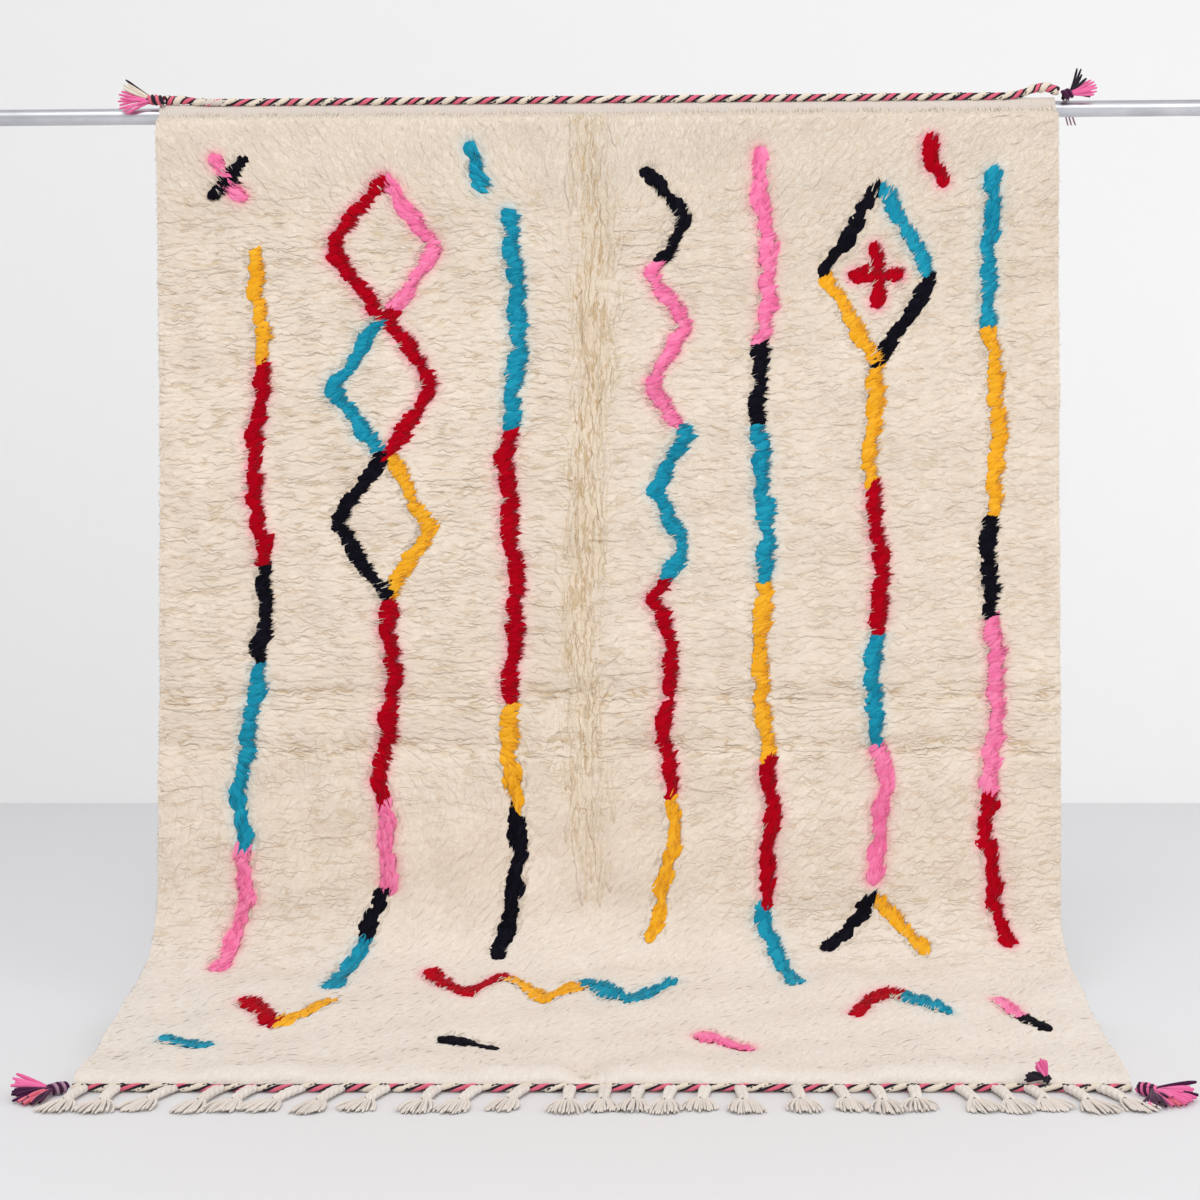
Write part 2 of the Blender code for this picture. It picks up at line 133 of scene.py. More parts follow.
class Run:
    """The cloth's back as a line in the side drawing, read by the distance along it from the head end."""

    STEP = 0.002

    def __init__(self):
        turns = int(HEAD_ANGLE * BACK / self.STEP)
        angles = np.linspace(HEAD_ANGLE, 0.0, turns + 1)
        self.points = [(BACK * math.cos(a), ROD_HEIGHT + BACK * math.sin(a)) for a in angles]
        for before, corner, after in zip(DRAPE, DRAPE[1:], DRAPE[2:]):
            self.round_corner(before, corner, after)
        self.points.append(DRAPE[-1][:2])
        self.length = sum(math.dist(a, b) for a, b in zip(self.points, self.points[1:]))
        self.points.append((DRAPE[-1][0] + 0.1, 0.0))
        self.line = np.array(self.points)
        self.along = distances(self.line)

    def round_corner(self, before, corner, after):
        """Adds the arc that rounds a corner between two straights."""
        middle = Vector(corner[:2])
        back = (Vector(before[:2]) - middle).normalized()
        on = (Vector(after[:2]) - middle).normalized()
        half = back.angle(on) / 2
        centre = middle + (back + on).normalized() * corner[2] / math.sin(half)
        start = middle + back * (corner[2] / math.tan(half)) - centre
        turn = math.pi - 2 * half
        steps = max(2, int(corner[2] * turn / self.STEP))
        for angle in np.linspace(0.0, turn, steps + 1):
            self.points.append(tuple(centre + start * math.cos(angle) - back * corner[2] * math.sin(angle)))

    def at(self, along, lift):
        """Forward and height of points that stand this far off the cloth's back."""
        forward, height = (np.interp(along, self.along, self.line[:, c]) for c in (0, 1))
        ahead = [np.interp(along + self.STEP, self.along, self.line[:, c]) for c in (0, 1)]
        behind = [np.interp(along - self.STEP, self.along, self.line[:, c]) for c in (0, 1)]
        run_on, run_up = ahead[0] - behind[0], ahead[1] - behind[1]
        size = np.hypot(run_on, run_up)
        return forward - run_up / size * lift, height + run_on / size * lift


run = Run()


def place(x, forward, height):
    """World points of the side drawing at x. Heights stretch with the rod's climb; the floor stays level."""
    x, forward, height = np.broadcast_arrays(x, forward, height)
    return np.stack([x, ROD_Y - forward, height * (1.0 + ROD_RISE * x / ROD_HEIGHT)], -1)


def on_cloth(x, along, lift):
    """World points of places on the cloth."""
    return place(x, *run.at(along, lift))


print("cloth's run", round(run.length, 3), "m")

# %% [markdown]
# ## The pile's surface
# The pile is 24 mm deep, thins out at its first and last knots, and swells and sinks a little. It was
# folded for storage: one soft trough runs down the middle, and two cross it below the middle.


# %% The pile's surface
def ramp(value, start, end):
    """A share that grows softly from 0 at the start to 1 at the end."""
    share = np.clip((value - start) / (end - start), 0.0, 1.0)
    return share * share * (3.0 - 2.0 * share)


def bump_at(value, centre, width):
    return np.exp(-(((value - centre) / width) ** 2))


def selvedge(along, side):
    """x of the cloth's edge: side is 1 for the left and 2 for the right."""
    rows = np.array(SELVEDGES)
    return np.interp(along, rows[:, 0], rows[:, side])


def fold_share(x, along):
    return bump_at(x, FOLD_X + FOLD_SWAY * np.sin(along * 5.0), FOLD_WIDTH)


def crease_share(along):
    return sum(bump_at(along, middle, CREASE_WIDTH) for middle in CREASE_ALONG)


def pile_top(x, along):
    """How far the pile's surface stands off the cloth's back."""
    head = ramp(along, HEAD_STRIP, HEAD_STRIP + HEAD_SLOPE)
    front = ramp(run.length - along, TAIL_STRIP, TAIL_STRIP + TAIL_SLOPE)
    share = np.minimum(head, front)
    relief = 0.0
    for length, heading, phase in SWELLS:
        turn = math.radians(heading)
        travel = x * math.cos(turn) + along * math.sin(turn)
        relief = relief + SWELL * np.sin(math.tau * travel / length + phase)
    relief = relief - FOLD_DEPTH * fold_share(x, along) - CREASE_DEPTH * crease_share(along)
    return WEAVE + (PILE - WEAVE + relief) * share


def rounded(x, along, lift):
    """Lets the pile's surface drop to the weave over the last millimetres before each selvedge."""
    low = 0.0022
    inside = np.minimum(x - selvedge(along, 1), selvedge(along, 2) - x)
    return low + np.maximum(lift - low, 0.0) * ramp(inside, -0.004, 0.001)


# %% [markdown]
# ## Meshes from grids
# Every soft piece is a stack of small grids: a lock, a strand and a cord are each rows of points. One
# function joins a whole stack into one mesh, so thousands of locks cost one object.


# %% Meshes from grids
def put(name, data):
    """A new object in the scene."""
    item = bpy.data.objects.new(name, data)
    bpy.context.scene.collection.objects.link(item)
    return item


def faces_of(count, rows, columns, around, flip):
    """The numbers of the four points of every face."""
    index = np.arange(count * rows * columns).reshape(count, rows, columns)
    if around:
        index = np.concatenate([index, index[:, :, :1]], axis=2)
    corners = [index[:, :-1, :-1], index[:, :-1, 1:], index[:, 1:, 1:], index[:, 1:, :-1]]
    return np.stack(corners[::-1] if flip else corners, -1).reshape(-1, 4)


def add_layers(mesh, quads, size, values, maps):
    """Writes numbers for the points, and flat places for the corners of the faces."""
    for key, numbers in values.items():
        layer = mesh.attributes.new(key, "FLOAT", "POINT")
        layer.data.foreach_set("value", np.broadcast_to(numbers, size).astype(np.float32).ravel())
    for key, flat in maps.items():
        layer = mesh.uv_layers.new(name=key)
        flat = np.broadcast_to(flat, (*size, 2)).reshape(-1, 2)
        layer.data.foreach_set("uv", flat[quads.ravel()].astype(np.float32).ravel())


def sew(mesh):
    """Joins points that lie in the same place."""
    shape = bmesh.new()
    shape.from_mesh(mesh)
    bmesh.ops.remove_doubles(shape, verts=shape.verts, dist=1e-6)
    shape.to_mesh(mesh)
    shape.free()


# %% One mesh of many grids
def join_grids(name, grids, material, around=False, values=None, maps=None, flip=False, sewn=False):
    """One mesh from points shaped (grid, row, column, 3).

    around closes each row into a ring, and sewn joins equal points. values are numbers for the points, and
    maps are flat places for them, both by name.
    """
    size = grids.shape[:3]
    quads = faces_of(*size, around, flip)
    mesh = bpy.data.meshes.new(name)
    mesh.vertices.add(math.prod(size))
    mesh.vertices.foreach_set("co", grids.astype(np.float32).ravel())
    mesh.loops.add(quads.size)
    mesh.loops.foreach_set("vertex_index", quads.astype(np.int32).ravel())
    mesh.polygons.add(len(quads))
    mesh.polygons.foreach_set("loop_start", np.arange(0, quads.size, 4, dtype=np.int32))
    mesh.update(calc_edges=True)
    mesh.shade_smooth()
    add_layers(mesh, quads, size, values or {}, maps or {})
    if sewn:
        sew(mesh)
    mesh.materials.append(material)
    piece = put(name, mesh)
    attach(piece, "root")
    print(name, len(mesh.polygons) * 2, "triangles")
    return piece


# %% Tubes from paths
def each(numbers):
    """One number for every grid, in the shape that spreads it over the grid's rows and columns."""
    return np.asarray(numbers)[:, None, None]


def unit(vectors, spare=0.0):
    """The same directions at length 1. spare keeps a vector of no length from a division by zero."""
    return vectors / (np.linalg.norm(vectors, axis=-1, keepdims=True) + spare)


def tubes_along(paths, radii, sides, up=(0.0, 0.0, 1.0)):
    """Rings round many paths shaped (path, step, 3), with a radius for each step."""
    heading = unit(np.gradient(paths, axis=1), 1e-12)
    side = unit(np.cross(heading, np.broadcast_to(np.array(up), heading.shape)), 1e-12)
    over = np.cross(side, heading)
    angles = np.arange(sides) * math.tau / sides
    spokes = side[:, :, None] * np.cos(angles)[:, None] + over[:, :, None] * np.sin(angles)[:, None]
    return paths[:, :, None] + spokes * np.broadcast_to(radii, paths.shape[:2])[:, :, None, None]


# %% [markdown]
# ## Writing materials
# A material is a tree of nodes. Written out, each sum would take several lines, so a socket is wrapped
# and shader sums read like ordinary maths. Colours are blended through Mix nodes.


# %% Writing materials
class Wire:
    """A socket that can be added to, multiplied by and so on with numbers and other sockets."""

    def __init__(self, finish, socket):
        self.finish, self.socket = finish, socket

    def math(self, kind, first, second):
        return self.finish.node("ShaderNodeMath", {"operation": kind}, {0: first, 1: second})

    def __add__(self, other):
        return self.math("ADD", self, other)

    def __radd__(self, other):
        return self.math("ADD", other, self)

    def __sub__(self, other):
        return self.math("SUBTRACT", self, other)

    def __rsub__(self, other):
        return self.math("SUBTRACT", other, self)

    def __mul__(self, other):
        return self.math("MULTIPLY", self, other)

    def __rmul__(self, other):
        return self.math("MULTIPLY", other, self)

    def __pow__(self, other):
        return self.math("POWER", self, other)

    def through(self, kind):
        """A Math node with one input, such as SINE."""
        return self.finish.node("ShaderNodeMath", {"operation": kind}, {0: self})

    def clamped(self):
        return self.finish.node("ShaderNodeClamp", {}, {0: self})


# %% A material and its nodes
class Finish:
    """One Principled material and the nodes that feed it."""

    def __init__(self, name, **constants):
        self.material = bpy.data.materials.new(name)
        self.material.use_nodes = True
        self.tree = self.material.node_tree
        self.shader = self.tree.nodes["Principled BSDF"]
        for key, value in constants.items():
            self.shader.inputs[key.replace("_", " ")].default_value = value

    def node(self, kind, settings=None, inputs=None, out=0):
        """Any node: its settings first, then values or wires for its inputs."""
        node = self.tree.nodes.new(kind)
        for key, value in (settings or {}).items():
            setattr(node, key, value)
        for key, value in (inputs or {}).items():
            self.feed(node.inputs[key], value)
        return Wire(self, node.outputs[out])

    def feed(self, socket, value):
        if isinstance(value, Wire):
            self.tree.links.new(value.socket, socket)
        else:
            socket.default_value = value

    def blend(self, share, first, second):
        colors = {0: share, 6: first, 7: second}
        return self.node("ShaderNodeMix", {"data_type": "RGBA"}, colors, out=2)

    def noise(self, place, scale, detail=2.0, roughness=0.5, flat=False, out=0):
        inputs = {"Vector": place, "Scale": scale, "Detail": detail, "Roughness": roughness}
        return self.node("ShaderNodeTexNoise", {"noise_dimensions": "2D" if flat else "3D"}, inputs, out)

    def map(self, name):
        return self.node("ShaderNodeUVMap", {"uv_map": name})

    def stretched(self, flat, scale, degrees=0.0):
        """A flat map's places, turned and stretched: few waves one way and many the other."""
        turn = (0.0, 0.0, math.radians(degrees))
        inputs = {"Vector": flat, "Rotation": turn, "Scale": [1 / s for s in scale]}
        return self.node("ShaderNodeMapping", {"vector_type": "TEXTURE"}, inputs)

    def vectors(self, kind, inputs):
        return self.node("ShaderNodeVectorMath", {"operation": kind}, inputs)

    def shifted(self, place, color, distance):
        """Places moved a little, each by its own bit of a colour noise."""
        half = self.vectors("SUBTRACT", {0: color, 1: (0.5, 0.5, 0.5)})
        step = self.vectors("SCALE", {0: half, 3: distance})
        return self.vectors("ADD", {0: place, 1: step})

    def parts(self, vector):
        return [self.node("ShaderNodeSeparateXYZ", {}, {"Vector": vector}, out=k) for k in (0, 1)]

    def line(self, wire, sharpness):
        """Thin wavering lines, where a noise passes through its middle."""
        return (1.0 - (wire - 0.5).through("ABSOLUTE") * sharpness).clamped()

    def value(self, name):
        return self.node("ShaderNodeAttribute", {"attribute_name": name}, {}, out=2)

    def space(self):
        return self.node("ShaderNodeTexCoord", {}, {}, out=3)

    def use(self, **wires):
        for key, value in wires.items():
            self.feed(self.shader.inputs[key.replace("_", " ")], value)

    def raise_by(self, height, distance, strength=1.0):
        bump = self.node("ShaderNodeBump", {}, {"Height": height, "Distance": distance, "Strength": strength})
        self.use(Normal=bump)


# %% Colours
def tint(red, green, blue):
    """A colour given as it looks on screen, 0 to 255, turned into the linear numbers that shaders use."""
    shares = [c / 255 for c in (red, green, blue)]
    return (*[s / 12.92 if s <= 0.04045 else ((s + 0.055) / 1.055) ** 2.4 for s in shares], 1.0)


# %% [markdown]
# ## Wool
# Felted wool is dull, with a soft bloom where it is seen at a slant. Single fibres as shapes would be
# millions, so they are noise, stretched along each lock in its bump and its colour. Each lock has a tone
# of its own. Wool deep between locks is browner: partly the roots' own colour, partly painted shade. The
# field is painted darker near the rod as shade, and paler and cooler where it lies on the floor as
# painted light from the sky.


# %% Wool
def wool(name, light, dark, deep, fibre=0.0005, sheen=0.25):
    """Dyed or undyed wool for locks, hairs and yarns: two tones, and a deep brown that is partly the roots'
    colour and partly painted shade.
    """
    finish = Finish(name, Sheen_Weight=sheen, Sheen_Roughness=0.45, Specular_IOR_Level=sheen * 0.5)
    strands = finish.noise(finish.stretched(finish.map("fibre"), (26.0, 240.0, 1.0)), 1.0, 3.0, 0.6)
    hairs = finish.noise(finish.stretched(finish.map("fibre"), (70.0, 900.0, 1.0)), 1.0, 2.0)
    clouds = finish.noise(finish.space(), 7.0, 3.0)
    share = finish.value("tone") * 0.45 + strands * 0.55 + hairs * 0.25 + clouds * 0.5 - 0.4
    color = finish.blend(share.clamped(), light, dark)
    # Painted shade: the deeper a point lies below its lock's crest, the browner, partly the roots' own
    # colour.
    color = finish.blend((finish.value("depth") ** 1.5 * 0.75).clamped(), color, deep)
    finish.use(Base_Color=color, Roughness=(0.84 + hairs * 0.14).clamped())
    finish.raise_by(strands * 0.65 + hairs * 0.35, fibre, 0.9)
    return finish.material


# %% Felted wool
def wool_field(name, light, dark, fold_trough_shade, skylit_tint, painted_shade_tint, deep, warm, cool):
    """Undyed felted pile. Its fibres follow the comb, and thin broken crevices follow the rows of knots. The
    crevices, the fold's trough and the field near the rod are painted darker as shade, and the part on the
    floor is painted paler as light from the sky.
    """
    finish = Finish(name, Sheen_Weight=0.2, Sheen_Roughness=0.5, Specular_IOR_Level=0.1)
    flat = finish.map("cloth")
    crumple = finish.shifted(flat, finish.noise(flat, 62.0, 1.0, 0.6, flat=True, out=1), 0.011)
    strokes = 0.0
    for degrees in AXES:
        combed = finish.stretched(crumple, (58.0, 175.0, 1.0), degrees)
        fibres = finish.noise(combed, 1.0, 2.0, 0.6, flat=True)
        strokes = fibres * finish.value(f"toward_{degrees}") + strokes
    waves = finish.noise(finish.stretched(crumple, (19.0, 98.0, 1.0)), 1.0, 1.5, 0.5, flat=True)
    cells = finish.noise(finish.stretched(crumple, (80.0, 11.0, 1.0)), 1.0, 2.0, 0.6, flat=True)
    gates = finish.noise(finish.stretched(flat, (21.0, 60.0, 1.0)), 1.0, 1.0, 0.5, flat=True)
    row = finish.line(waves, 13.0) * ((gates - 0.43) * 6.0).clamped() * finish.value("rows")
    lens = finish.line(cells, 21.0) * finish.value("folds") * 2.3
    parting = finish.line(strokes, 12.0) * (0.24 - finish.value("rows") * 0.16 + finish.value("painted_shade") * 0.34)
    hollow = finish.line(waves, 3.6) * finish.value("rows")
    crevice = (row + lens + parting).clamped()
    # Painted shade: the crevice lines, the fold's lines and the soft hollows between rows darken the colour.
    crevice_shade = row * 0.47 + lens.clamped() * 0.62 + parting * 0.5 + hollow * 0.11
    clouds = finish.noise(flat, 5.5, 3.0, flat=True)
    share = finish.value("tone") * 0.14 + strokes * 1.1 + clouds * 0.7 - 0.62
    color = finish.blend(share.clamped(), light, dark)
    # Painted shade: the fold's trough is yellower and darker.
    color = finish.blend(finish.value("folds") * 0.6, color, fold_trough_shade)
    # Painted light: where the cloth lies on the floor it is paler and cooler, as under more light from the
    # sky.
    color = finish.blend(finish.value("lying") * 0.75, color, skylit_tint)
    # Painted shade: the field is darker near the rod and over the upper middle and right.
    color = finish.blend(finish.value("painted_shade") * 0.5, color, painted_shade_tint)
    # Painted shade below the locks' crests and in the crevices, partly the roots' own browner wool.
    color = finish.blend((finish.value("depth") * 0.7 + crevice_shade).clamped(), color, deep)
    color = finish.blend((finish.value("warm_stain") * 0.95).clamped(), color, warm)
    color = finish.blend((finish.value("cool_stain") * 0.6).clamped(), color, cool)
    finish.use(Base_Color=color, Roughness=(0.86 + strokes * 0.12).clamped())
    finish.raise_by(strokes * 0.85 - crevice * 0.42 - hollow * 0.5, 0.0023, 0.85)
    return finish.material


# %% The wools
AXES = (0, 45, 90, 135)
CREAM = wool("cream_tufts", tint(236, 225, 209), tint(220, 206, 188), tint(190, 168, 140))
# The tufts over the head strip are a darker cream: painted shade, matching the field near the rod.
SHADED_HEAD_TUFTS = wool("shaded_head_tufts", tint(222, 211, 197), tint(206, 194, 179), tint(180, 160, 136))
# The fold's tint and the tint near the rod are painted shade, the floor's pale tint is painted light, and the
# deep brown is partly painted shade. The warm and cool stains are dye bled from the figures.
FELT = wool_field(
    "cream_wool",
    light=tint(236, 223, 208),
    dark=tint(218, 202, 184),
    fold_trough_shade=tint(231, 211, 178),
    skylit_tint=tint(229, 221, 213),
    painted_shade_tint=tint(206, 195, 181),
    deep=tint(196, 168, 130),
    warm=tint(238, 150, 165),
    cool=tint(150, 200, 212),
)
DYES = {
    "crimson": wool("crimson_wool", tint(184, 2, 27), tint(148, 0, 16), tint(96, 0, 12), sheen=0.06),
    "teal": wool("teal_wool", tint(38, 160, 186), tint(4, 112, 142), tint(0, 74, 104), sheen=0.10),
    "pink": wool("pink_wool", tint(248, 146, 184), tint(226, 86, 142), tint(190, 30, 92), sheen=0.15),
    "saffron": wool("saffron_wool", tint(246, 184, 52), tint(224, 148, 12), tint(180, 104, 0), sheen=0.12),
    "navy": wool("navy_wool", tint(26, 24, 34), tint(8, 7, 12), tint(2, 2, 4), sheen=0.03),
}
print("dyed wools", *DYES)

# %% [markdown]
# ## The figures
# The rug carries a free arrangement of common knotted figures: long wavering lines, chains of open
# lozenges, zigzags, crosses and chevrons. Each stroke is a line in (x, along) with a width, and its wool
# changes along the way, as when one colour runs out and the next is picked up.

# %% The figures
STROKES = (
    # width, ((x, along), ...), ((wool, share of the length), ...)
    (
        0.024,
        (
            (-0.575, 0.26), (-0.560, 0.45), (-0.580, 0.62), (-0.556, 0.80), (-0.572, 0.98),
            (-0.600, 1.15), (-0.585, 1.32), (-0.622, 1.50),
        ),
        (("saffron", 0.14), ("crimson", 0.28), ("navy", 0.13), ("teal", 0.25), ("pink", 0.20)),
    ),
    (
        0.023,
        (
            (-0.365, 0.14), (-0.450, 0.25), (-0.365, 0.37), (-0.445, 0.49), (-0.362, 0.60),
            (-0.440, 0.71), (-0.360, 0.83),
        ),
        (("crimson", 0.34), ("teal", 0.32), ("navy", 0.34)),
    ),
    (
        0.023,
        (
            (-0.355, 0.14), (-0.275, 0.26), (-0.355, 0.37), (-0.280, 0.48), (-0.352, 0.60),
            (-0.285, 0.72), (-0.350, 0.83),
        ),
        (("pink", 0.32), ("crimson", 0.36), ("saffron", 0.32)),
    ),
    (
        0.026,
        ((-0.355, 0.84), (-0.345, 0.98), (-0.365, 1.12), (-0.350, 1.28), (-0.395, 1.44), (-0.430, 1.56)),
        (("crimson", 0.46), ("pink", 0.20), ("navy", 0.14), ("teal", 0.20)),
    ),
    (
        0.027,
        (
            (-0.150, 0.20), (-0.135, 0.40), (-0.158, 0.62), (-0.140, 0.85), (-0.155, 1.05),
            (-0.132, 1.25), (-0.165, 1.46),
        ),
        (("teal", 0.28), ("crimson", 0.36), ("saffron", 0.14), ("navy", 0.22)),
    ),
    (
        0.022,
        (
            (0.080, 0.13), (0.145, 0.21), (0.085, 0.30), (0.142, 0.39), (0.082, 0.48), (0.140, 0.57),
            (0.088, 0.66), (0.138, 0.75), (0.090, 0.84), (0.120, 0.93), (0.105, 1.06), (0.125, 1.22),
            (0.085, 1.42),
        ),
        (("navy", 0.13), ("pink", 0.23), ("teal", 0.20), ("crimson", 0.26), ("saffron", 0.18)),
    ),
    (
        0.025,
        (
            (0.262, 0.10), (0.280, 0.30), (0.258, 0.52), (0.276, 0.75), (0.262, 0.95), (0.285, 1.18),
            (0.270, 1.38), (0.310, 1.55),
        ),
        (
            ("pink", 0.22), ("navy", 0.09), ("teal", 0.18), ("saffron", 0.20), ("crimson", 0.17),
            ("teal", 0.14),
        ),
    ),
    (0.023, ((0.460, 0.16), (0.372, 0.30), (0.455, 0.45)), (("navy", 0.5), ("saffron", 0.5))),
    (0.023, ((0.468, 0.16), (0.548, 0.31), (0.462, 0.45)), (("teal", 0.5), ("navy", 0.5))),
    (0.022, ((0.425, 0.305), (0.495, 0.305)), (("crimson", 1.0),)),
    (0.022, ((0.460, 0.260), (0.460, 0.350)), (("crimson", 1.0),)),
    (
        0.025,
        ((0.458, 0.46), (0.446, 0.62), (0.468, 0.80), (0.450, 0.98), (0.472, 1.16), (0.455, 1.30)),
        (("saffron", 0.22), ("crimson", 0.30), ("teal", 0.22), ("pink", 0.26)),
    ),
    (
        0.025,
        (
            (0.655, 0.14), (0.640, 0.34), (0.662, 0.55), (0.642, 0.78), (0.660, 1.00), (0.640, 1.22),
            (0.668, 1.42),
        ),
        (("teal", 0.20), ("saffron", 0.24), ("navy", 0.13), ("pink", 0.23), ("crimson", 0.20)),
    ),
    (0.022, ((-0.640, 0.105), (-0.600, 0.165)), (("pink", 1.0),)),
    (0.022, ((-0.600, 0.105), (-0.640, 0.165)), (("navy", 1.0),)),
    (0.024, ((-0.215, 0.085), (-0.195, 0.150)), (("teal", 1.0),)),
    (0.024, ((0.545, 0.085), (0.565, 0.150)), (("crimson", 1.0),)),
    (0.024, ((0.375, 1.44), (0.455, 1.335), (0.535, 1.44)), (("navy", 0.5), ("saffron", 0.5))),
    (
        0.026,
        (
            (-0.275, 1.52), (-0.215, 1.60), (-0.150, 1.53), (-0.085, 1.61), (-0.020, 1.54),
            (0.045, 1.62), (0.110, 1.55),
        ),
        (("crimson", 0.34), ("saffron", 0.30), ("teal", 0.36)),
    ),
    (0.026, ((-0.555, 1.62), (-0.490, 1.70), (-0.420, 1.63)), (("crimson", 0.5), ("saffron", 0.5))),
    (0.026, ((0.390, 1.66), (0.455, 1.58), (0.530, 1.67)), (("crimson", 0.55), ("teal", 0.45))),
    (0.026, ((-0.650, 1.76), (-0.580, 1.79)), (("teal", 1.0),)),
    (0.028, ((-0.230, 1.755), (-0.160, 1.775)), (("navy", 1.0),)),
    (0.028, ((0.150, 1.745), (0.215, 1.775)), (("pink", 1.0),)),
    (0.026, ((0.620, 1.62), (0.665, 1.73)), (("pink", 0.5), ("navy", 0.5))),
)


# %% A stroke's points
WOOLS = list(DYES)
KNOT_STEP = 0.006  # from one point of a stroke to the next
FIELD_STEP = 0.002  # the cloth is sampled on a grid of this step, a little wider and longer than itself
FIELD_HALF = 0.80
FIELD_LONG = 1.99
FIELD_X = np.arange(-FIELD_HALF, FIELD_HALF + 0.001, FIELD_STEP)
FIELD_ALONG = np.arange(0.0, FIELD_LONG, FIELD_STEP)


def wobble(travel, seed, size):
    """A small smooth sway, such as a weaver's hand gives a line."""
    shift = random.Random(seed).uniform(0, 9)
    return size * (np.sin(travel * 52 + shift) * 0.6 + np.sin(travel * 127 + shift * 2) * 0.4)


def stroke_points(number, width, corners, spans):
    """Points along a stroke, with the half width and the wool at each. Each pair of knots is a little off."""
    corners = np.array(corners)
    travel = distances(corners)
    places = np.arange(0.0, travel[-1] + KNOT_STEP, KNOT_STEP)
    hand = random.Random(number * 7 + 3)
    jags = np.repeat([hand.uniform(-1, 1) for _ in range(len(places) // 2 + 1)], 2)[: len(places)]
    swells = np.repeat([hand.uniform(-1, 1) for _ in range(len(places) // 2 + 1)], 2)[: len(places)]
    x = np.interp(places, travel, corners[:, 0]) + wobble(places, number, 0.0045) + jags * 0.0024
    along = np.interp(places, travel, corners[:, 1])
    half = width / 2 * (0.87 + wobble(places * 1.4, number + 50, 0.22) + swells * 0.13)
    ends = np.cumsum([share for _, share in spans]) * travel[-1]
    which = [WOOLS.index(spans[min(int(np.searchsorted(ends, p)), len(spans) - 1)][0]) for p in places]
    return np.stack([x, along], -1), half, np.array(which)


# %% The field round the figures
def draw_figures():
    """For each spot of the cloth, how far it lies outside the nearest stroke, and that stroke's wool."""
    outside = np.full((len(FIELD_X), len(FIELD_ALONG)), 0.2)
    which = np.zeros(outside.shape, int)
    ribbons = []
    for number, stroke in enumerate(STROKES):
        points, half, wools = stroke_points(number, *stroke)
        ribbons.append((points, half, wools))
        for (x, along), reach, wool_at in zip(points, half, wools):
            near_x = slice(*np.searchsorted(FIELD_X, (x - 0.06, x + 0.06)))
            near_along = slice(*np.searchsorted(FIELD_ALONG, (along - 0.06, along + 0.06)))
            away = np.hypot(FIELD_X[near_x][:, None] - x, FIELD_ALONG[near_along][None] - along) - reach
            closer = away < outside[near_x, near_along]
            outside[near_x, near_along][closer] = away[closer]
            which[near_x, near_along][closer] = wool_at
    return outside, which, ribbons


OUTSIDE, WHICH, RIBBONS = draw_figures()


def field_index(x, along):
    column = np.clip(np.rint((x - FIELD_X[0]) / FIELD_STEP).astype(int), 0, len(FIELD_X) - 1)
    row = np.clip(np.rint((along - FIELD_ALONG[0]) / FIELD_STEP).astype(int), 0, len(FIELD_ALONG) - 1)
    return column, row


def outside_figures(x, along):
    """How far a place lies outside the nearest stroke: below 0 is inside."""
    return OUTSIDE[field_index(x, along)]


def wool_at(x, along):
    """The number of the wool of the nearest stroke."""
    return WHICH[field_index(x, along)]


print("figures", len(STROKES), "strokes", round(sum(len(r[0]) for r in RIBBONS) * KNOT_STEP, 1), "m")

# %% [markdown]
# ## Which way the locks lie
# Handling combs the pile: from both sides towards the middle, down near the rod, and down and left below
# the creases. At the fold the locks stand in long upright lenses. Combing by hand would be slow, so a
# short table gives the heading at a few spots, and the rest is blended from it.

# %% Which way the locks lie
COMB = (
    # x, along, heading in degrees: 0 right, 90 down the cloth, 180 left
    (-0.62, 0.08, 62),
    (-0.30, 0.08, 78),
    (0.10, 0.08, 96),
    (0.40, 0.08, 122),
    (0.68, 0.08, 138),
    (-0.62, 0.30, -6),
    (-0.25, 0.30, -14),
    (0.15, 0.32, 176),
    (0.62, 0.32, 158),
    (-0.60, 0.62, -15),
    (-0.25, 0.62, -10),
    (0.15, 0.62, 182),
    (0.62, 0.62, 168),
    (-0.60, 0.95, -4),
    (-0.25, 0.95, 4),
    (0.15, 0.95, 176),
    (0.62, 0.95, 172),
    (-0.50, 1.25, 118),
    (0.00, 1.25, 126),
    (0.50, 1.25, 128),
    (-0.50, 1.60, 140),
    (0.00, 1.60, 138),
    (0.50, 1.60, 132),
    (0.00, 1.85, 110),
)


# %% How strong the fold is
FOLD_STRENGTH = (
    # along, how strong the fold's lines and its painted trough shade are
    (0.05, 0.45),
    (0.20, 0.60),
    (0.30, 1.00),
    (0.48, 0.85),
    (0.60, 0.60),
    (0.75, 0.90),
    (0.90, 0.60),
    (1.05, 0.50),
    (1.20, 0.30),
    (1.45, 0.00),
)


# %% Reading the comb
def heading_at(x, along):
    """The locks' heading, as a unit direction in (x, along)."""
    rows = np.array(COMB)
    away = (x[:, None] - rows[:, 0]) ** 2 + (along[:, None] - rows[:, 1]) ** 2
    weight = 1.0 / (away + 0.004) ** 1.5
    turn = np.radians(rows[:, 2])
    field = np.stack([weight @ np.cos(turn), weight @ np.sin(turn)], -1)
    field = unit(field, 1e-9)
    upright = np.clip(fold_share(x, along) * 1.5, 0.0, 1.0)[:, None] * (along < 1.25)[:, None]
    down = np.array([0.12, 1.0])
    field = field * (1.0 - upright) + down * upright * 1.2
    return unit(field)


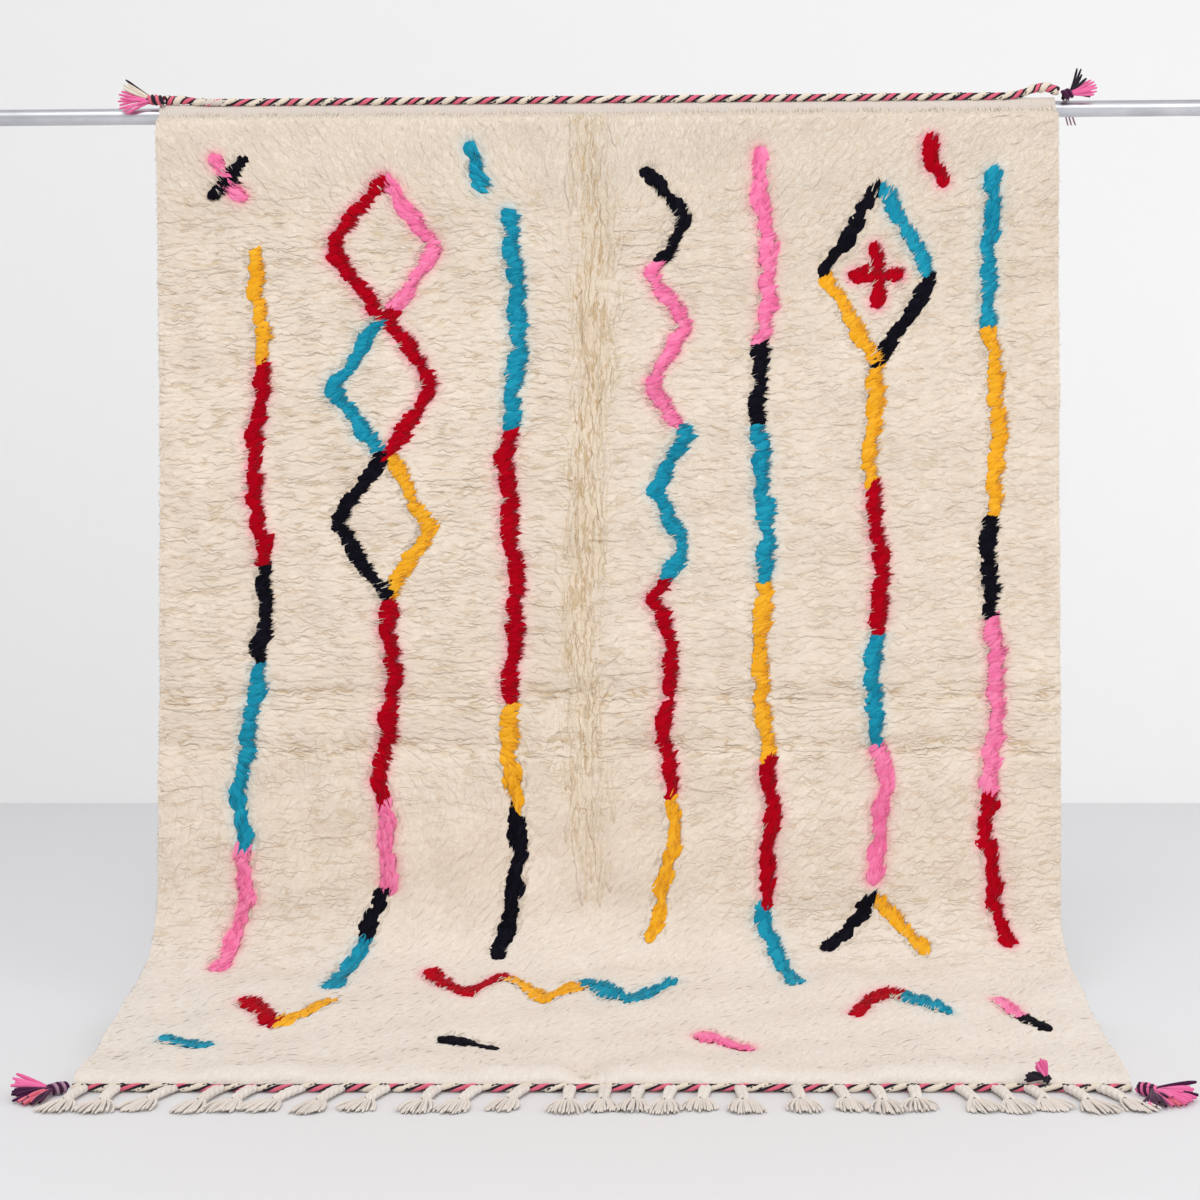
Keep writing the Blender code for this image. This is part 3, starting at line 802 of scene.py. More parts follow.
def comb_values(x, along):
    """How far every point's fibres follow each of four axes, and how strong each look of the pile is."""
    field = heading_at(x.ravel(), along.ravel())
    axis = np.degrees(np.arctan2(field[:, 1], field[:, 0])) % 180
    values = {}
    for degrees in AXES:
        away = np.abs((axis - degrees + 90) % 180 - 90)
        values[f"toward_{degrees}"] = np.maximum(1.0 - away / 45.0, 0.0).reshape(x.shape)
    wander = 0.009 * np.sin(along * 23) + 0.006 * np.sin(along * 61 + 1)
    strength = np.interp(along, *zip(*FOLD_STRENGTH))
    fold = np.clip(fold_share(x + wander, along) * 1.15, 0, 1) ** 1.7 * strength
    left = 0.62 + 0.28 * ramp(x, 0.10, -0.12) * ramp(along, 1.15, 0.75)
    sides = np.maximum(ramp(x, 0.05, 0.35), ramp(x, -0.28, -0.50))
    ruffled = ramp(along, 1.35 + 0.22 * sides, 1.10 + 0.35 * sides)
    rows = left * ramp(along, 0.08, 0.22) * (0.12 + 0.88 * ruffled)
    rows = rows + 0.8 * crease_share(along) + 0.12 * sides * bump_at(along, 1.34, 0.13)
    values["rows"] = np.clip(rows, 0, 1.35) * (1 - 0.85 * fold)
    values["folds"] = fold
    # Where the cloth lies on the floor, which the finish paints paler as light from the sky.
    values["lying"] = ramp(along, 1.24, 1.54)
    # Painted shade: where the field's colour is darkened near the rod and over the upper middle and right.
    values["painted_shade"] = 0.75 * ramp(along, 0.55, 0.05) + 0.25 * ramp(x, -0.25, 0.10) * ramp(along, 1.0, 0.6)
    return values


def sideways(heading):
    """The directions square to these, in (x, along)."""
    return np.stack([-heading[:, 1], heading[:, 0]], -1)


def turned(field, degrees):
    """The same directions, turned by an angle each."""
    cosine, sine = np.cos(np.radians(degrees)), np.sin(np.radians(degrees))
    on, down = field.T
    return np.stack([on * cosine - down * sine, on * sine + down * cosine], -1)


print("comb", len(COMB), "headings")

# %% [markdown]
# ## Where the locks grow
# Locks keep a distance that is longer along their heading than across it, as felted wool does. Spots are
# thrown at random over the cloth, and one that falls too close to an earlier one is dropped. This gives
# rows that wander and break off, and never a grid.

# %% Where the locks grow
SHELF = 0.03  # spots are kept on square shelves of this size, so only near ones are compared


def crowds(spot, heading, reach, across, others):
    """Whether one of the others stands inside the oval that a lock needs for itself."""
    for other in others:
        dx, dy = other[0] - spot[0], other[1] - spot[1]
        on = (dx * heading[0] + dy * heading[1]) / reach
        off = (dy * heading[0] - dx * heading[1]) / across
        if on * on + off * off < 1.0:
            return True
    return False


def scatter(spots, heading, reach, across):
    """Keeps the spots that lie clear of those kept before. reach and across are each spot's spacing."""
    kept, shelves = [], {}
    rows = zip(*(part.tolist() for part in (spots, heading, reach, across)))
    for k, (spot, way, far, wide) in enumerate(rows):
        column, row = int(spot[0] // SHELF), int(spot[1] // SHELF)
        nearby = [(column + i, row + j) for i in (-1, 0, 1) for j in (-1, 0, 1)]
        if not any(crowds(spot, way, far, wide, shelves.get(shelf, ())) for shelf in nearby):
            kept.append(k)
            shelves.setdefault((column, row), []).append(spot)
    return np.array(kept)


# %% Spots for the cream locks
def thrown(count, low, high):
    """Random spots on the cloth between its selvedges."""
    along = rng.uniform(low, high, count)
    left, right = selvedge(along, 1) + 0.004, selvedge(along, 2) - 0.004
    return np.stack([left + (right - left) * rng.random(count), along], -1)


FIRST_KNOTS = HEAD_STRIP + 0.006
LAST_KNOTS = run.length - TAIL_STRIP - 0.004
CREAM_THROWS, DYED_THROWS = 60000, 260000


def cream_spots():
    """Where the undyed locks stand, their headings, and how much room each takes."""
    spots = thrown(CREAM_THROWS, FIRST_KNOTS, LAST_KNOTS)
    outside = outside_figures(spots[:, 0], spots[:, 1])
    spots, outside = spots[outside > 0.0010], outside[outside > 0.0010]
    x, along = spots.T
    heading = turned(heading_at(x, along), rng.normal(0, 10, len(x)))
    fold = fold_share(x, along) * (along < 1.3)
    crease = np.clip(crease_share(along), 0, 1)
    near = 0.60 + 0.40 * ramp(outside, 0.0, 0.018)
    size = rng.uniform(0.7, 1.45, len(x)) * near
    reach = (0.0260 + 0.008 * fold + 0.010 * crease) * size
    across = (0.0122 - 0.0034 * fold) * near * rng.uniform(0.8, 1.25, len(x))
    kept = scatter(spots, heading, reach, across)
    return spots[kept], heading[kept], reach[kept], across[kept]


spots, heading, reach, across = cream_spots()
print("cream locks", len(spots))

# %% [markdown]
# ## A lock
# A lock is a leaf: sunk along one side, with a raised lip along the other that throws the thin shadow
# seen between locks. Its ends taper and sink. A tube would look like a rope, and a flat card would show
# its edge, so the leaf lies flush in the felt. A dyed lock is narrower and its tip stays on top of the
# pile, so a figure's edge is toothed on the side to which the locks lie, and even on the other.

# %% A lock
LEAF = (
    # place along the lock, width there, drop below its crest
    (-1.00, 0.45, 0.0036),
    (-0.78, 0.76, 0.0016),
    (-0.50, 0.94, 0.0006),
    (-0.15, 1.00, 0.0000),
    (0.25, 0.94, 0.0001),
    (0.58, 0.78, 0.0006),
    (0.83, 0.52, 0.0018),
    (1.00, 0.24, 0.0036),
)
SPIKE = (
    (-1.00, 0.70, 0.0022),
    (-0.55, 1.00, 0.0004),
    (-0.05, 0.94, 0.0000),
    (0.40, 0.62, 0.0001),
    (0.72, 0.30, 0.0004),
    (1.00, 0.04, 0.0009),
)
SECTION = (
    # place across from the sunk side to the lip, drop in shares of the lock's slope
    (0.00, 1.00),
    (0.45, 0.36),
    (0.86, 0.00),
    (1.00, 0.22),
)
FLAT_SECTION = ((0.00, 1.00), (0.55, 0.05), (1.00, 0.30))
LIP_FOOT = 1.05  # where the lip's outer face meets the bed, on the scale of the section
# The brown at this depth is partly the roots' own colour and partly painted shade.
DEEP = 0.007  # below a lock's crest, where its wool is as brown as it gets
# spots on a lock where it is tried against the figures, in half lengths and widths
PROBES = ((-1, 0), (-0.6, 0.4), (-0.6, -0.4), (0, 0.5), (0, -0.5), (0.6, 0.4), (0.6, -0.4), (1, 0))


# %% Laying locks
def lay_locks(spots, heading, length, width, slope, lip, raised, shape, section, flipped, wave=0.0):
    """Points of every lock, its depth below the pile's surface, and its places for the fibres."""
    count = len(spots)
    rows, columns = np.array(section), np.array(shape)
    on, spread, drop = columns.T
    over, fall = rows.T
    side = sideways(heading)
    side *= np.where(flipped, -1.0, 1.0)[:, None]
    bend = rng.normal(0, 0.16, count)
    sway, phase = rng.uniform(0.02, 0.07, count), rng.uniform(0, 6.28, count)
    u = on[None, None] * each(length / 2) * np.ones((count, len(rows) + 1, 1))
    over = np.append(over, LIP_FOOT)
    v = (over[None, :, None] - 0.5) * spread[None, None] * each(width)
    bow = bend[:, None] * on**2 + sway[:, None] * np.sin(on * 4 + phase[:, None])
    v = v + bow[:, None] * each(width)
    v = v + wave * (np.sin(u * 62 + each(phase)) + 0.6 * np.sin(u * 275 + 2 * each(phase)))
    x, along = (each(spots[:, k]) + each(heading[:, k]) * u + each(side[:, k]) * v for k in (0, 1))
    along = np.clip(along, FIRST_KNOTS - 0.003, LAST_KNOTS + 0.002)
    x = np.clip(x, selvedge(along, 1) - 0.001, selvedge(along, 2) + 0.001)
    low = each(slope) * np.append(fall, 0.0)[None, :, None] + drop[None, None]
    low[:, -1] += lip[:, None]
    ridge = 0.0003 * np.sin(over[None, :, None] * 9 + on[None, None] * 4 + each(phase))
    lift = rounded(x, along, pile_top(x, along) + each(raised) - low + ridge)
    # Painted shade: the deeper below the crest, the browner, and each lip's edge gets a thin brown line where
    # its shadow falls.
    depth = np.clip(low / DEEP, 0, 1)
    depth[:, -2] = np.maximum(depth[:, -2], 0.12)
    depth[:, -1] = np.maximum(depth[:, -1], 0.50)
    fibre = np.stack([u + each(rng.uniform(0, 5, count)), v + each(rng.uniform(0, 5, count))], -1)
    return x, along, lift, depth, fibre


# %% Locks beside a figure
def clear_of_figures(spots, heading, length, width, allowed):
    """Shortens and narrows locks until no more than the allowed bit of them lies over a figure."""
    length, width = length.copy(), width.copy()
    side = sideways(heading)
    for _ in range(7):
        worst = np.full(len(spots), 1.0)
        for on, off in PROBES:
            point = spots + heading * (on * length / 2)[:, None] + side * (off * width)[:, None]
            worst = np.minimum(worst, outside_figures(point[:, 0], point[:, 1]))
        crossing = worst < -allowed
        length[crossing] *= 0.80
        width[crossing] *= 0.90
    return length, width


def flat_map(x, along):
    """Places for a colour map: across the cloth and along it, from 0 to 1."""
    return np.stack([(x + FIELD_HALF) / (2 * FIELD_HALF), 1.0 - along / FIELD_LONG], -1)


def cloth_maps(x, along, key):
    """That map, and the places in metres under the name that the finish reads."""
    return {"OFBake": flat_map(x, along), key: np.stack([x, along], -1)}


# %% One mesh of locks
BLEED = 0.0062  # distance over which the stain fades


def stains(x, along):
    """Where a figure's dye has bled into the cream wool beside it."""
    near = np.exp(-np.maximum(outside_figures(x, along), 0) / BLEED)
    warm = np.isin(wool_at(x, along), [WOOLS.index("crimson"), WOOLS.index("pink")])
    cool = np.isin(wool_at(x, along), [WOOLS.index("teal")])
    return {"warm_stain": near * warm, "cool_stain": near * cool}


def add_locks(name, material, spots, *sizes, **options):
    """One mesh of locks: sizes and options are those of lay_locks."""
    x, along, lift, depth, fibre = lay_locks(spots, *sizes, **options)
    values = {"tone": each(rng.random(len(spots))), "depth": depth}
    # The dyed locks carry less of the painted shade.
    if material != FELT:
        values["depth"] = depth * 0.4
    else:
        values.update(stains(x, along))
        values.update(comb_values(x, along))
    maps = {**cloth_maps(x, along, "cloth"), "fibre": fibre}
    return join_grids(name, on_cloth(x, along, lift), material, values=values, maps=maps, flip=True)


# %% [markdown]
# ## The cream pile
# The undyed field, in three bands so that no piece is too heavy. At the fold the lips face both ways, and
# in the creases they stand higher. Lower down the pile is brushed flat, so its locks stand less proud of
# each other.

# %% The cream pile
BANDS = (("pile_upper", 0.0, 0.62), ("pile_middle", 0.62, 1.22), ("pile_lower", 1.22, 2.0))
fold = fold_share(spots[:, 0], spots[:, 1]) * (spots[:, 1] < 1.3)
crease = np.clip(crease_share(spots[:, 1]), 0, 1)
brushed = ramp(spots[:, 1], 1.08, 1.45)
length, width = clear_of_figures(spots, heading, reach * 2.3, across * 1.5, 0.0015)
slope = (0.0014 + 0.0013 * crease + 0.0016 * fold) * rng.uniform(0.6, 1.35, len(spots))
lip = 0.0007 + 0.0010 * crease + 0.0014 * fold
strength = rng.uniform(0.25, 1.0, len(spots))
raised = (0.0007 + 0.0006 * crease + 0.0010 * fold) * strength * (1 - 0.3 * brushed) - 0.0004
upward = heading[:, 0] < 0
flipped = np.where(fold > 0.4, rng.random(len(spots)) < 0.5, upward)
for name, start, end in BANDS:
    here = (spots[:, 1] >= start) & (spots[:, 1] < end)
    chosen = [part[here] for part in (spots, heading, length, width, slope, lip, raised)]
    add_locks(name, FELT, *chosen, LEAF, SECTION, flipped[here], wave=0.0012)

# %% [markdown]
# ## Long crevices
# Where the cloth was folded, locks have joined into long low ridges with a thin wavering line under each.
# They run across the cloth in the creases, stand upright in the middle fold, and a few lie scattered over
# the field.


# %% Long crevices
def long_ridges():
    """Spots, headings, lengths and widths of the ridges."""
    hand = random.Random(5)
    rows = []
    for _ in range(64):
        side = hand.choice((-1, 1, 1))
        along = hand.choice((hand.gauss(1.01, 0.055), 0.995, 1.012, 1.083)) + hand.gauss(0, 0.006)
        rows.append((side * hand.uniform(0.06, 0.68), along, hand.uniform(-4, 3), hand.uniform(0.10, 0.30)))
    for _ in range(70):
        x, along = hand.uniform(-0.69, 0.70), hand.uniform(0.12, 1.25)
        rows.append((x, along, hand.uniform(-8, 4), hand.uniform(0.05, 0.14)))
    for _ in range(150):
        along = hand.uniform(0.06, 1.32)
        x = FOLD_X + FOLD_SWAY * math.sin(along * 5.0) + hand.gauss(0, 0.017)
        rows.append((x, along, 90 + hand.uniform(-9, 9), hand.uniform(0.05, 0.14)))
    rows = np.array(rows)
    turn = np.radians(rows[:, 2])
    return rows[:, :2], np.stack([np.cos(turn), np.sin(turn)], -1), rows[:, 3]


def between_figures(spots, heading, length):
    """Cuts each ridge down to its longest stretch that crosses no figure."""
    spots, length = spots.copy(), length.copy()
    share = np.linspace(-0.5, 0.5, 61)
    for k in range(len(spots)):
        points = spots[k] + heading[k] * (share * length[k])[:, None]
        clear = np.concatenate([[False], outside_figures(points[:, 0], points[:, 1]) > 0.007, [False]])
        turns = np.flatnonzero(np.diff(clear.astype(int)))
        starts, ends = turns[::2], turns[1::2]
        if not len(starts):
            length[k] = 0.004
            continue
        best = int(np.argmax(ends - starts))
        middle = (share[starts[best]] + share[ends[best] - 1]) / 2
        spots[k] += heading[k] * middle * length[k]
        length[k] *= max((ends[best] - starts[best]) / 61, 0.04)
    return spots, length


ON = np.linspace(-1, 1, 14)
RIDGE = tuple((on, 1.0 - 0.75 * abs(on) ** 3, 0.0034 * abs(on) ** 5) for on in ON)
ridge_spots, ridge_heading, ridge_length = long_ridges()
ridge_width = rng.uniform(0.011, 0.017, len(ridge_spots))
ridge_spots, ridge_length = between_figures(ridge_spots, ridge_heading, ridge_length)
ridge_width = np.minimum(ridge_width, ridge_length * 0.4)
upright = np.abs(ridge_heading[:, 1]) > 0.7
ridges = add_locks(
    "pile_ridges",
    FELT,
    ridge_spots,
    ridge_heading,
    ridge_length,
    ridge_width,
    np.where(upright, 0.0052, 0.0030),
    np.where(upright, 0.0040, 0.0026),
    np.where(upright, 0.0028, 0.0012),
    RIDGE,
    SECTION,
    np.where(upright, rng.random(len(upright)) < 0.5, False),
    wave=0.0016,
)
print("ridges", len(ridge_spots))

# %% [markdown]
# ## The dyed pile
# The same knots in dyed wool, smaller and closer together. A lock that would start outside its figure is
# moved in, and its tip may reach a few millimetres past the edge.


# %% The dyed pile
def rightward(heading):
    """The same axis, taken towards the right where it lies across the cloth."""
    across = np.abs(heading[:, 0]) > 0.6
    return np.where((across & (heading[:, 0] < 0))[:, None], -heading, heading)


def dyed_spots():
    """The same for the dyed locks, which stand inside the figures."""
    spots = thrown(DYED_THROWS, FIRST_KNOTS, LAST_KNOTS)
    outside = outside_figures(spots[:, 0], spots[:, 1])
    spots = spots[outside < -0.002]
    heading = turned(rightward(heading_at(spots[:, 0], spots[:, 1])), rng.normal(-18, 15, len(spots)))
    size = rng.uniform(0.75, 1.35, len(spots))
    reach, across = 0.0110 * size, 0.0052 * size
    kept = scatter(spots, heading, reach, across)
    return spots[kept], heading[kept], reach[kept], across[kept]


def start_inside(spots, heading, length):
    """Moves locks forward until their roots lie in the figure, and shortens those that reach too far out."""
    spots, length = spots.copy(), length.copy()
    spare = rng.uniform(0.001, 0.0125, len(spots))
    for _ in range(6):
        root = spots - heading * (length * 0.42)[:, None]
        late = outside_figures(root[:, 0], root[:, 1]) > -0.001
        spots[late] += heading[late] * 0.0022
        tip = spots + heading * (length / 2)[:, None]
        long = outside_figures(tip[:, 0], tip[:, 1]) > spare
        length[long] *= 0.86
    return spots, length


dyed, dyed_heading, dyed_reach, dyed_across = dyed_spots()
dyed, dyed_length = start_inside(dyed, dyed_heading, dyed_reach * 2.5)
dyed_wool = wool_at(dyed[:, 0], dyed[:, 1])
for number, name in enumerate(WOOLS):
    here = dyed_wool == number
    many = int(here.sum())
    piece = add_locks(
        f"pile_{name}",
        DYES[name],
        dyed[here],
        dyed_heading[here],
        dyed_length[here],
        dyed_across[here] * 2.2,
        0.0015 * rng.uniform(0.6, 1.4, many),
        np.full(many, 0.0012),
        rng.normal(0.0006, 0.0003, many),
        SPIKE,
        FLAT_SECTION,
        dyed_heading[here][:, 0] < 0,
    )
    print(piece.name, many, "locks")

# %% [markdown]
# ## Hair at the figures' edges
# Where two colours meet, single hairs cross over: dyed ones on the side to which the pile lies, cream
# ones on the other.


# %% Hair at the figures' edges
def edge_hairs(count, cream):
    """Roots and tips of hairs along every stroke, with the wool beside each."""
    roots, tips, wools = [], [], []
    for points, half, which in RIBBONS:
        way = unit(np.gradient(points, axis=0))
        for _ in range(count):
            k = rng.integers(0, len(points), len(points))
            normal = sideways(way[k])
            lie = turned(rightward(heading_at(*points[k].T)), rng.normal(-14, 13, len(k)))
            normal *= np.sign((normal * lie).sum(1))[:, None] * (-1 if cream else 1)
            spot = points[k] + way[k] * rng.uniform(-0.003, 0.003, len(k))[:, None]
            inset = (half[k] + 0.009) if cream else (half[k] - 0.006)
            root = spot + normal * inset[:, None]
            roots.append(root)
            tips.append(root + lie * rng.uniform(0.010, 0.017, len(k))[:, None])
            wools.append(which[k])
    return np.concatenate(roots), np.concatenate(tips), np.concatenate(wools)


def three_points(roots, tips):
    """Root, middle and tip of every hair."""
    share = np.array([0.0, 0.5, 1.0])[None, :, None]
    return roots[:, None] * (1 - share) + tips[:, None] * share


def lay_hairs(name, points, radii, material, sides=3, up=(0.0, 0.0, 1.0), tones=1.0):
    """One mesh of closed tapering tubes along world points shaped (hair, 3, 3)."""
    rings = tubes_along(points, radii, sides, up)
    travel = each(rng.uniform(0, 5, len(points)))[..., None] + 0.0 * rings[..., :2]
    values = {"tone": each(rng.random(len(points))) * tones, "depth": 0.0}
    join_grids(name, rings, material, around=True, values=values, maps={"fibre": travel})


# %% The edges' hair
HAIR_RADII = np.array([1.0, 0.8, 0.08])
EDGE_HAIRS = (
    # cream or dyed, hairs for each point of a stroke, rise above the pile, radius
    (False, 2, 0.0010, 0.0014),
    (True, 1, 0.0016, 0.0007),
)
for cream, count, rise, radius in EDGE_HAIRS:
    roots, tips, wools = edge_hairs(count, cream)
    for number, name in enumerate(["cream"] if cream else WOOLS):
        here = wools >= 0 if cream else wools == number
        x, along = np.moveaxis(three_points(roots[here], tips[here]), -1, 0)
        along = np.clip(along, FIRST_KNOTS, LAST_KNOTS)
        lift = rounded(x, along, pile_top(x, along) + rise + np.array([-0.0010, 0.0, -0.0003]))
        material = CREAM if cream else DYES[name]
        lay_hairs(f"hair_{name}", on_cloth(x, along, lift), HAIR_RADII[None] * radius, material)

# %% [markdown]
# ## Under the locks
# The knots' feet make a felted bed a few millimetres down, seen only where locks part. Each figure has
# its own ribbon of dyed feet there. The same knots show on the cloth's back as small even loops, in the
# same colours.


# %% Under the locks
def bed_grid(start, end):
    """The felted bed between two distances along the cloth. It lies lower under the figures."""
    along = np.linspace(start, end, int((end - start) / 0.0060))[:, None]
    share = np.linspace(0.0, 1.0, 251)[None]
    left, right = selvedge(along, 1) + 0.001, selvedge(along, 2) - 0.001
    x = left + (right - left) * share
    along = along + 0.0 * x
    bumps = 0.0007 * (np.sin(x * 260 + 3 * np.sin(along * 61)) * np.sin(along * 310 + 3 * np.sin(x * 47)))
    under = 0.0010 + 0.0040 * ramp(outside_figures(x, along), 0.003, -0.002)
    lift = rounded(x, along, pile_top(x, along) + bumps - under)
    return x[None], along[None], lift[None]


MIDDLE = 0.98
BEDS = (
    # name, start and end along the cloth
    ("felt_upper", FIRST_KNOTS - 0.004, MIDDLE),
    ("felt_lower", MIDDLE, LAST_KNOTS + 0.002),
)
for name, start, end in BEDS:
    x, along, lift = bed_grid(start, end)
    maps = cloth_maps(x, along, "cloth")
    values = {"tone": 0.5, "depth": 0.02, **stains(x, along), **comb_values(x, along)}
    join_grids(name, on_cloth(x, along, lift), FELT, values=values, maps=maps, flip=True)


def ribbon_grids(trim, lift_of, gaps):
    """Short lengths of every stroke, two rows by three columns each, with the wool of each."""
    grids, wools = [], []
    for points, half, which in RIBBONS:
        side = sideways(unit(np.gradient(points, axis=0)))
        for k in range(len(points) - 1):
            ends = (points[k], points[k] * gaps + points[k + 1] * (1 - gaps))
            rows = [[end + side[k] * (half[k] - trim) * way for way in (-1, 0, 1)] for end in ends]
            grids.append(rows)
            wools.append(which[k])
    grids = np.array(grids)
    x, along = grids[..., 0], grids[..., 1]
    return x, along, lift_of(x, along), np.array(wools)


def feet(x, along):
    return np.maximum(pile_top(x, along) - 0.0014, 0.0025)


def knot_backs(x, along):
    return np.zeros(x.shape) - 0.0002 - np.array([0.0, 0.0009, 0.0])


RIBBON_KINDS = (
    # name, narrower than the stroke by, surface, gap between two lengths, depth for the finish's painted
    # shade
    ("feet", 0.0020, feet, 0.0, 0.15),
    ("back", 0.0, knot_backs, 0.22, 0.1),
)
for kind, trim, lift_of, gaps, depth in RIBBON_KINDS:
    x, along, lift, wools = ribbon_grids(trim, lift_of, gaps)
    for number, name in enumerate(WOOLS):
        here = wools == number
        maps = cloth_maps(x[here], along[here], "fibre")
        grids = on_cloth(x[here], along[here], lift[here])
        values = {"tone": each(rng.random(int(here.sum()))), "depth": depth}
        looks = {"values": values, "maps": maps, "flip": kind == "feet"}
        join_grids(f"{kind}_{name}", grids, DYES[name], **looks)
    print(kind, len(wools), "ribbons")

# %% [markdown]
# ## The woven ground
# Under the knots lies a plain weave of the same wool, a few shoots of weft between two rows of knots. It
# shows bare at the head, where it is finely ribbed, at the front, and all over the back.


# %% The woven ground
def weave(name, light, dark, shoots=0.5):
    """Plain weave: warps and wefts as crossed ribs. shoots is how strong the wefts are."""
    finish = Finish(name, Sheen_Weight=0.15, Sheen_Roughness=0.5, Specular_IOR_Level=0.15)
    flat = finish.map("fibre")
    across, down = finish.parts(flat)
    sway = finish.noise(flat, 40.0, 2.0) * 1.3
    warps = (across * (math.tau / WARP_PITCH) + sway).through("SINE")
    wefts = (down * (math.tau / WEFT_PITCH) + sway).through("SINE")
    yarn = finish.noise(finish.stretched(flat, (420.0, 900.0, 1.0)), 1.0, 2.0)
    clouds = finish.noise(finish.space(), 6.0, 3.0)
    height = warps * 0.35 + wefts * shoots + yarn * 0.5
    # Painted shade: the colour follows the bump's height, so the weave's grooves are darker and its ribs
    # lighter.
    share = (0.42 - height * 0.28 + clouds * 0.4).clamped()
    finish.use(Base_Color=finish.blend(share, light, dark), Roughness=(0.86 + yarn * 0.1).clamped())
    finish.raise_by(height, 0.0006, 0.8)
    return finish.material


GROUND = weave("ground_weave", tint(238, 226, 210), tint(206, 188, 164))
# The head strip's weave is a darker cream than the ground's: painted shade near the rod.
HEAD_WEAVE = weave("head_weave", tint(221, 211, 202), tint(201, 189, 178), shoots=0.08)


def ground_grid():
    """A flat sleeve of two layers, closed at the selvedges and at both ends."""
    along = np.linspace(0.0, run.length, 160)
    along = np.concatenate([[along[0]], along, [along[-1]]])[:, None]
    share = np.concatenate([np.linspace(0, 1, 41), np.linspace(1, 0, 41)])[None]
    left, right = selvedge(along, 1) + 0.001, selvedge(along, 2) - 0.001
    x = left + (right - left) * share
    front = np.arange(82)[None] < 41
    lift = np.where(front, WEAVE, 0.0) + 0.0 * along
    lift[0], lift[-1] = WEAVE / 2, WEAVE / 2
    return x[None], (along + 0.0 * x)[None], lift[None]


x, along, lift = ground_grid()
points = on_cloth(x, along, lift)
maps = cloth_maps(x, along, "fibre")
ground = join_grids("woven_ground", points, GROUND, around=True, maps=maps, flip=True, sewn=True)

# %% [markdown]
# ## The head strip
# Two fingers' width of bare weave lies over the rod. Its warps stand up as fine ribs that lean a little.


# %% The head strip
def head_strip_grid():
    """One layer over the bare weave, with a rib for each warp."""
    along = np.linspace(0.001, HEAD_STRIP + 0.006, 9)[:, None]
    x = np.linspace(selvedge(0.0, 1) + 0.001, selvedge(0.0, 2) - 0.001, 950)[None] + 0.0 * along
    sway = 0.9 * np.sin(x * 61) + 0.5 * np.sin(along * 300)
    ribs = np.abs(np.sin((x + along * 0.6) * math.pi / WARP_PITCH + sway))
    weft = 0.5 + 0.5 * np.sin(along * math.pi / WEFT_PITCH + np.sin(x * 33) * 2)
    edge = np.minimum(ramp(along, 0.001, 0.004), 1.0)
    lift = WEAVE - 0.0004 + (0.0013 * ribs + 0.0002 * weft) * edge
    return x[None], (along + 0.0 * x)[None], lift[None]


x, along, lift = head_strip_grid()
maps = cloth_maps(x, along, "fibre")
head_strip = join_grids("head_strip", on_cloth(x, along, lift), HEAD_WEAVE, maps=maps, flip=True)

# %% [markdown]
# ## The pile's rims
# At the selvedges and the front the last knots hang over the edge and felt together into a soft lumpy
# skirt. Loose hair stands out of it, and blunt tufts of the first knots lie over the head strip. The
# hairs are closed thin tubes, because particle hair would not travel with the model.


# %% The pile's rims
def lumps(travel, turn):
    """Soft uneven swelling of a skirt, from -1 to 1, at a travel along it and a share of its fall."""
    broad = np.sin(travel * 78 + 2.1 * np.sin(travel * 23)) * 0.4
    tufty = np.sin(travel * 410 + 3.0 * np.sin(travel * 57) + turn * 2.0) * 0.35
    fine = np.sin(travel * 760 + 4.0 * np.sin(travel * 101) - turn * 5.0) * 0.25
    return broad + tufty + fine


def skirt(name, travel, surface):
    """A band that falls from the pile's top over its edge.

    surface gives its (x, along, lift), and its places on the cloth for the finish.
    """
    x, along, lift, spread = surface(travel[None], np.linspace(0.0, 1.0, 11)[:, None])
    x, along, lift, spread = x[None], along[None], lift[None], np.stack(spread, -1)[None]
    values = {"tone": 0.4, "depth": 0.0, **stains(x, along), **comb_values(x, along)}
    maps = {"OFBake": flat_map(x, along), "cloth": spread}
    join_grids(name, on_cloth(x, along, lift), FELT, values=values, maps=maps, flip=True)


# %% The rims' surfaces
def side_surface(side, outward):
    """The skirt's surface beside a selvedge: outward is -1 at the left and 1 at the right."""
    def surface(travel, fall):
        turn = fall * math.pi / 2
        out = 0.0022 + 0.0011 * lumps(travel + side, fall)
        edge = selvedge(travel, side)
        x = edge + outward * (-0.010 + (0.010 + out) * np.sin(turn) ** 0.9)
        inner = pile_top(edge - outward * 0.010, travel) - 0.0008
        lift = 0.0006 + (inner - 0.0006) * np.cos(turn) ** 0.7
        x, along, lift = np.broadcast_arrays(x, travel, lift)
        return x, along, lift, (edge + outward * fall * 0.030, along)

    return surface


def front_surface(travel, fall):
    """The skirt's surface above the front edge, at each travel and share of its fall."""
    turn = fall * math.pi / 2
    start = run.length - 0.038
    reach = 0.0335 + 0.0022 * np.sin(travel * 38 + 1.0) + 0.0016 * lumps(travel, fall)
    along = start + reach * np.sin(turn)
    foot = 0.0032
    drop = (pile_top(travel, start) - 0.0006 - foot) * np.cos(turn) ** 0.8
    lift = foot + drop + 0.0008 * lumps(travel + 3, fall) * np.sin(turn * 2)
    x, along, lift = np.broadcast_arrays(travel, along, lift)
    return x, along, lift, (x, start + fall * 0.045 + 0.0 * x)


# %% Loose hair
def hairs(name, roots, tips, radii, material, sides=3, tip=0.06):
    """Hairs from roots to tips, given in (x, along, lift)."""
    x, along, lift = np.moveaxis(three_points(roots, tips), -1, 0)
    world = on_cloth(x, along, np.maximum(lift, 0.0008))
    taper = radii[:, None] * np.array([1.0, 0.8, tip])[None]
    lay_hairs(name, world, taper, material, sides, up=(0.13, -0.7, 0.7), tones=0.6)


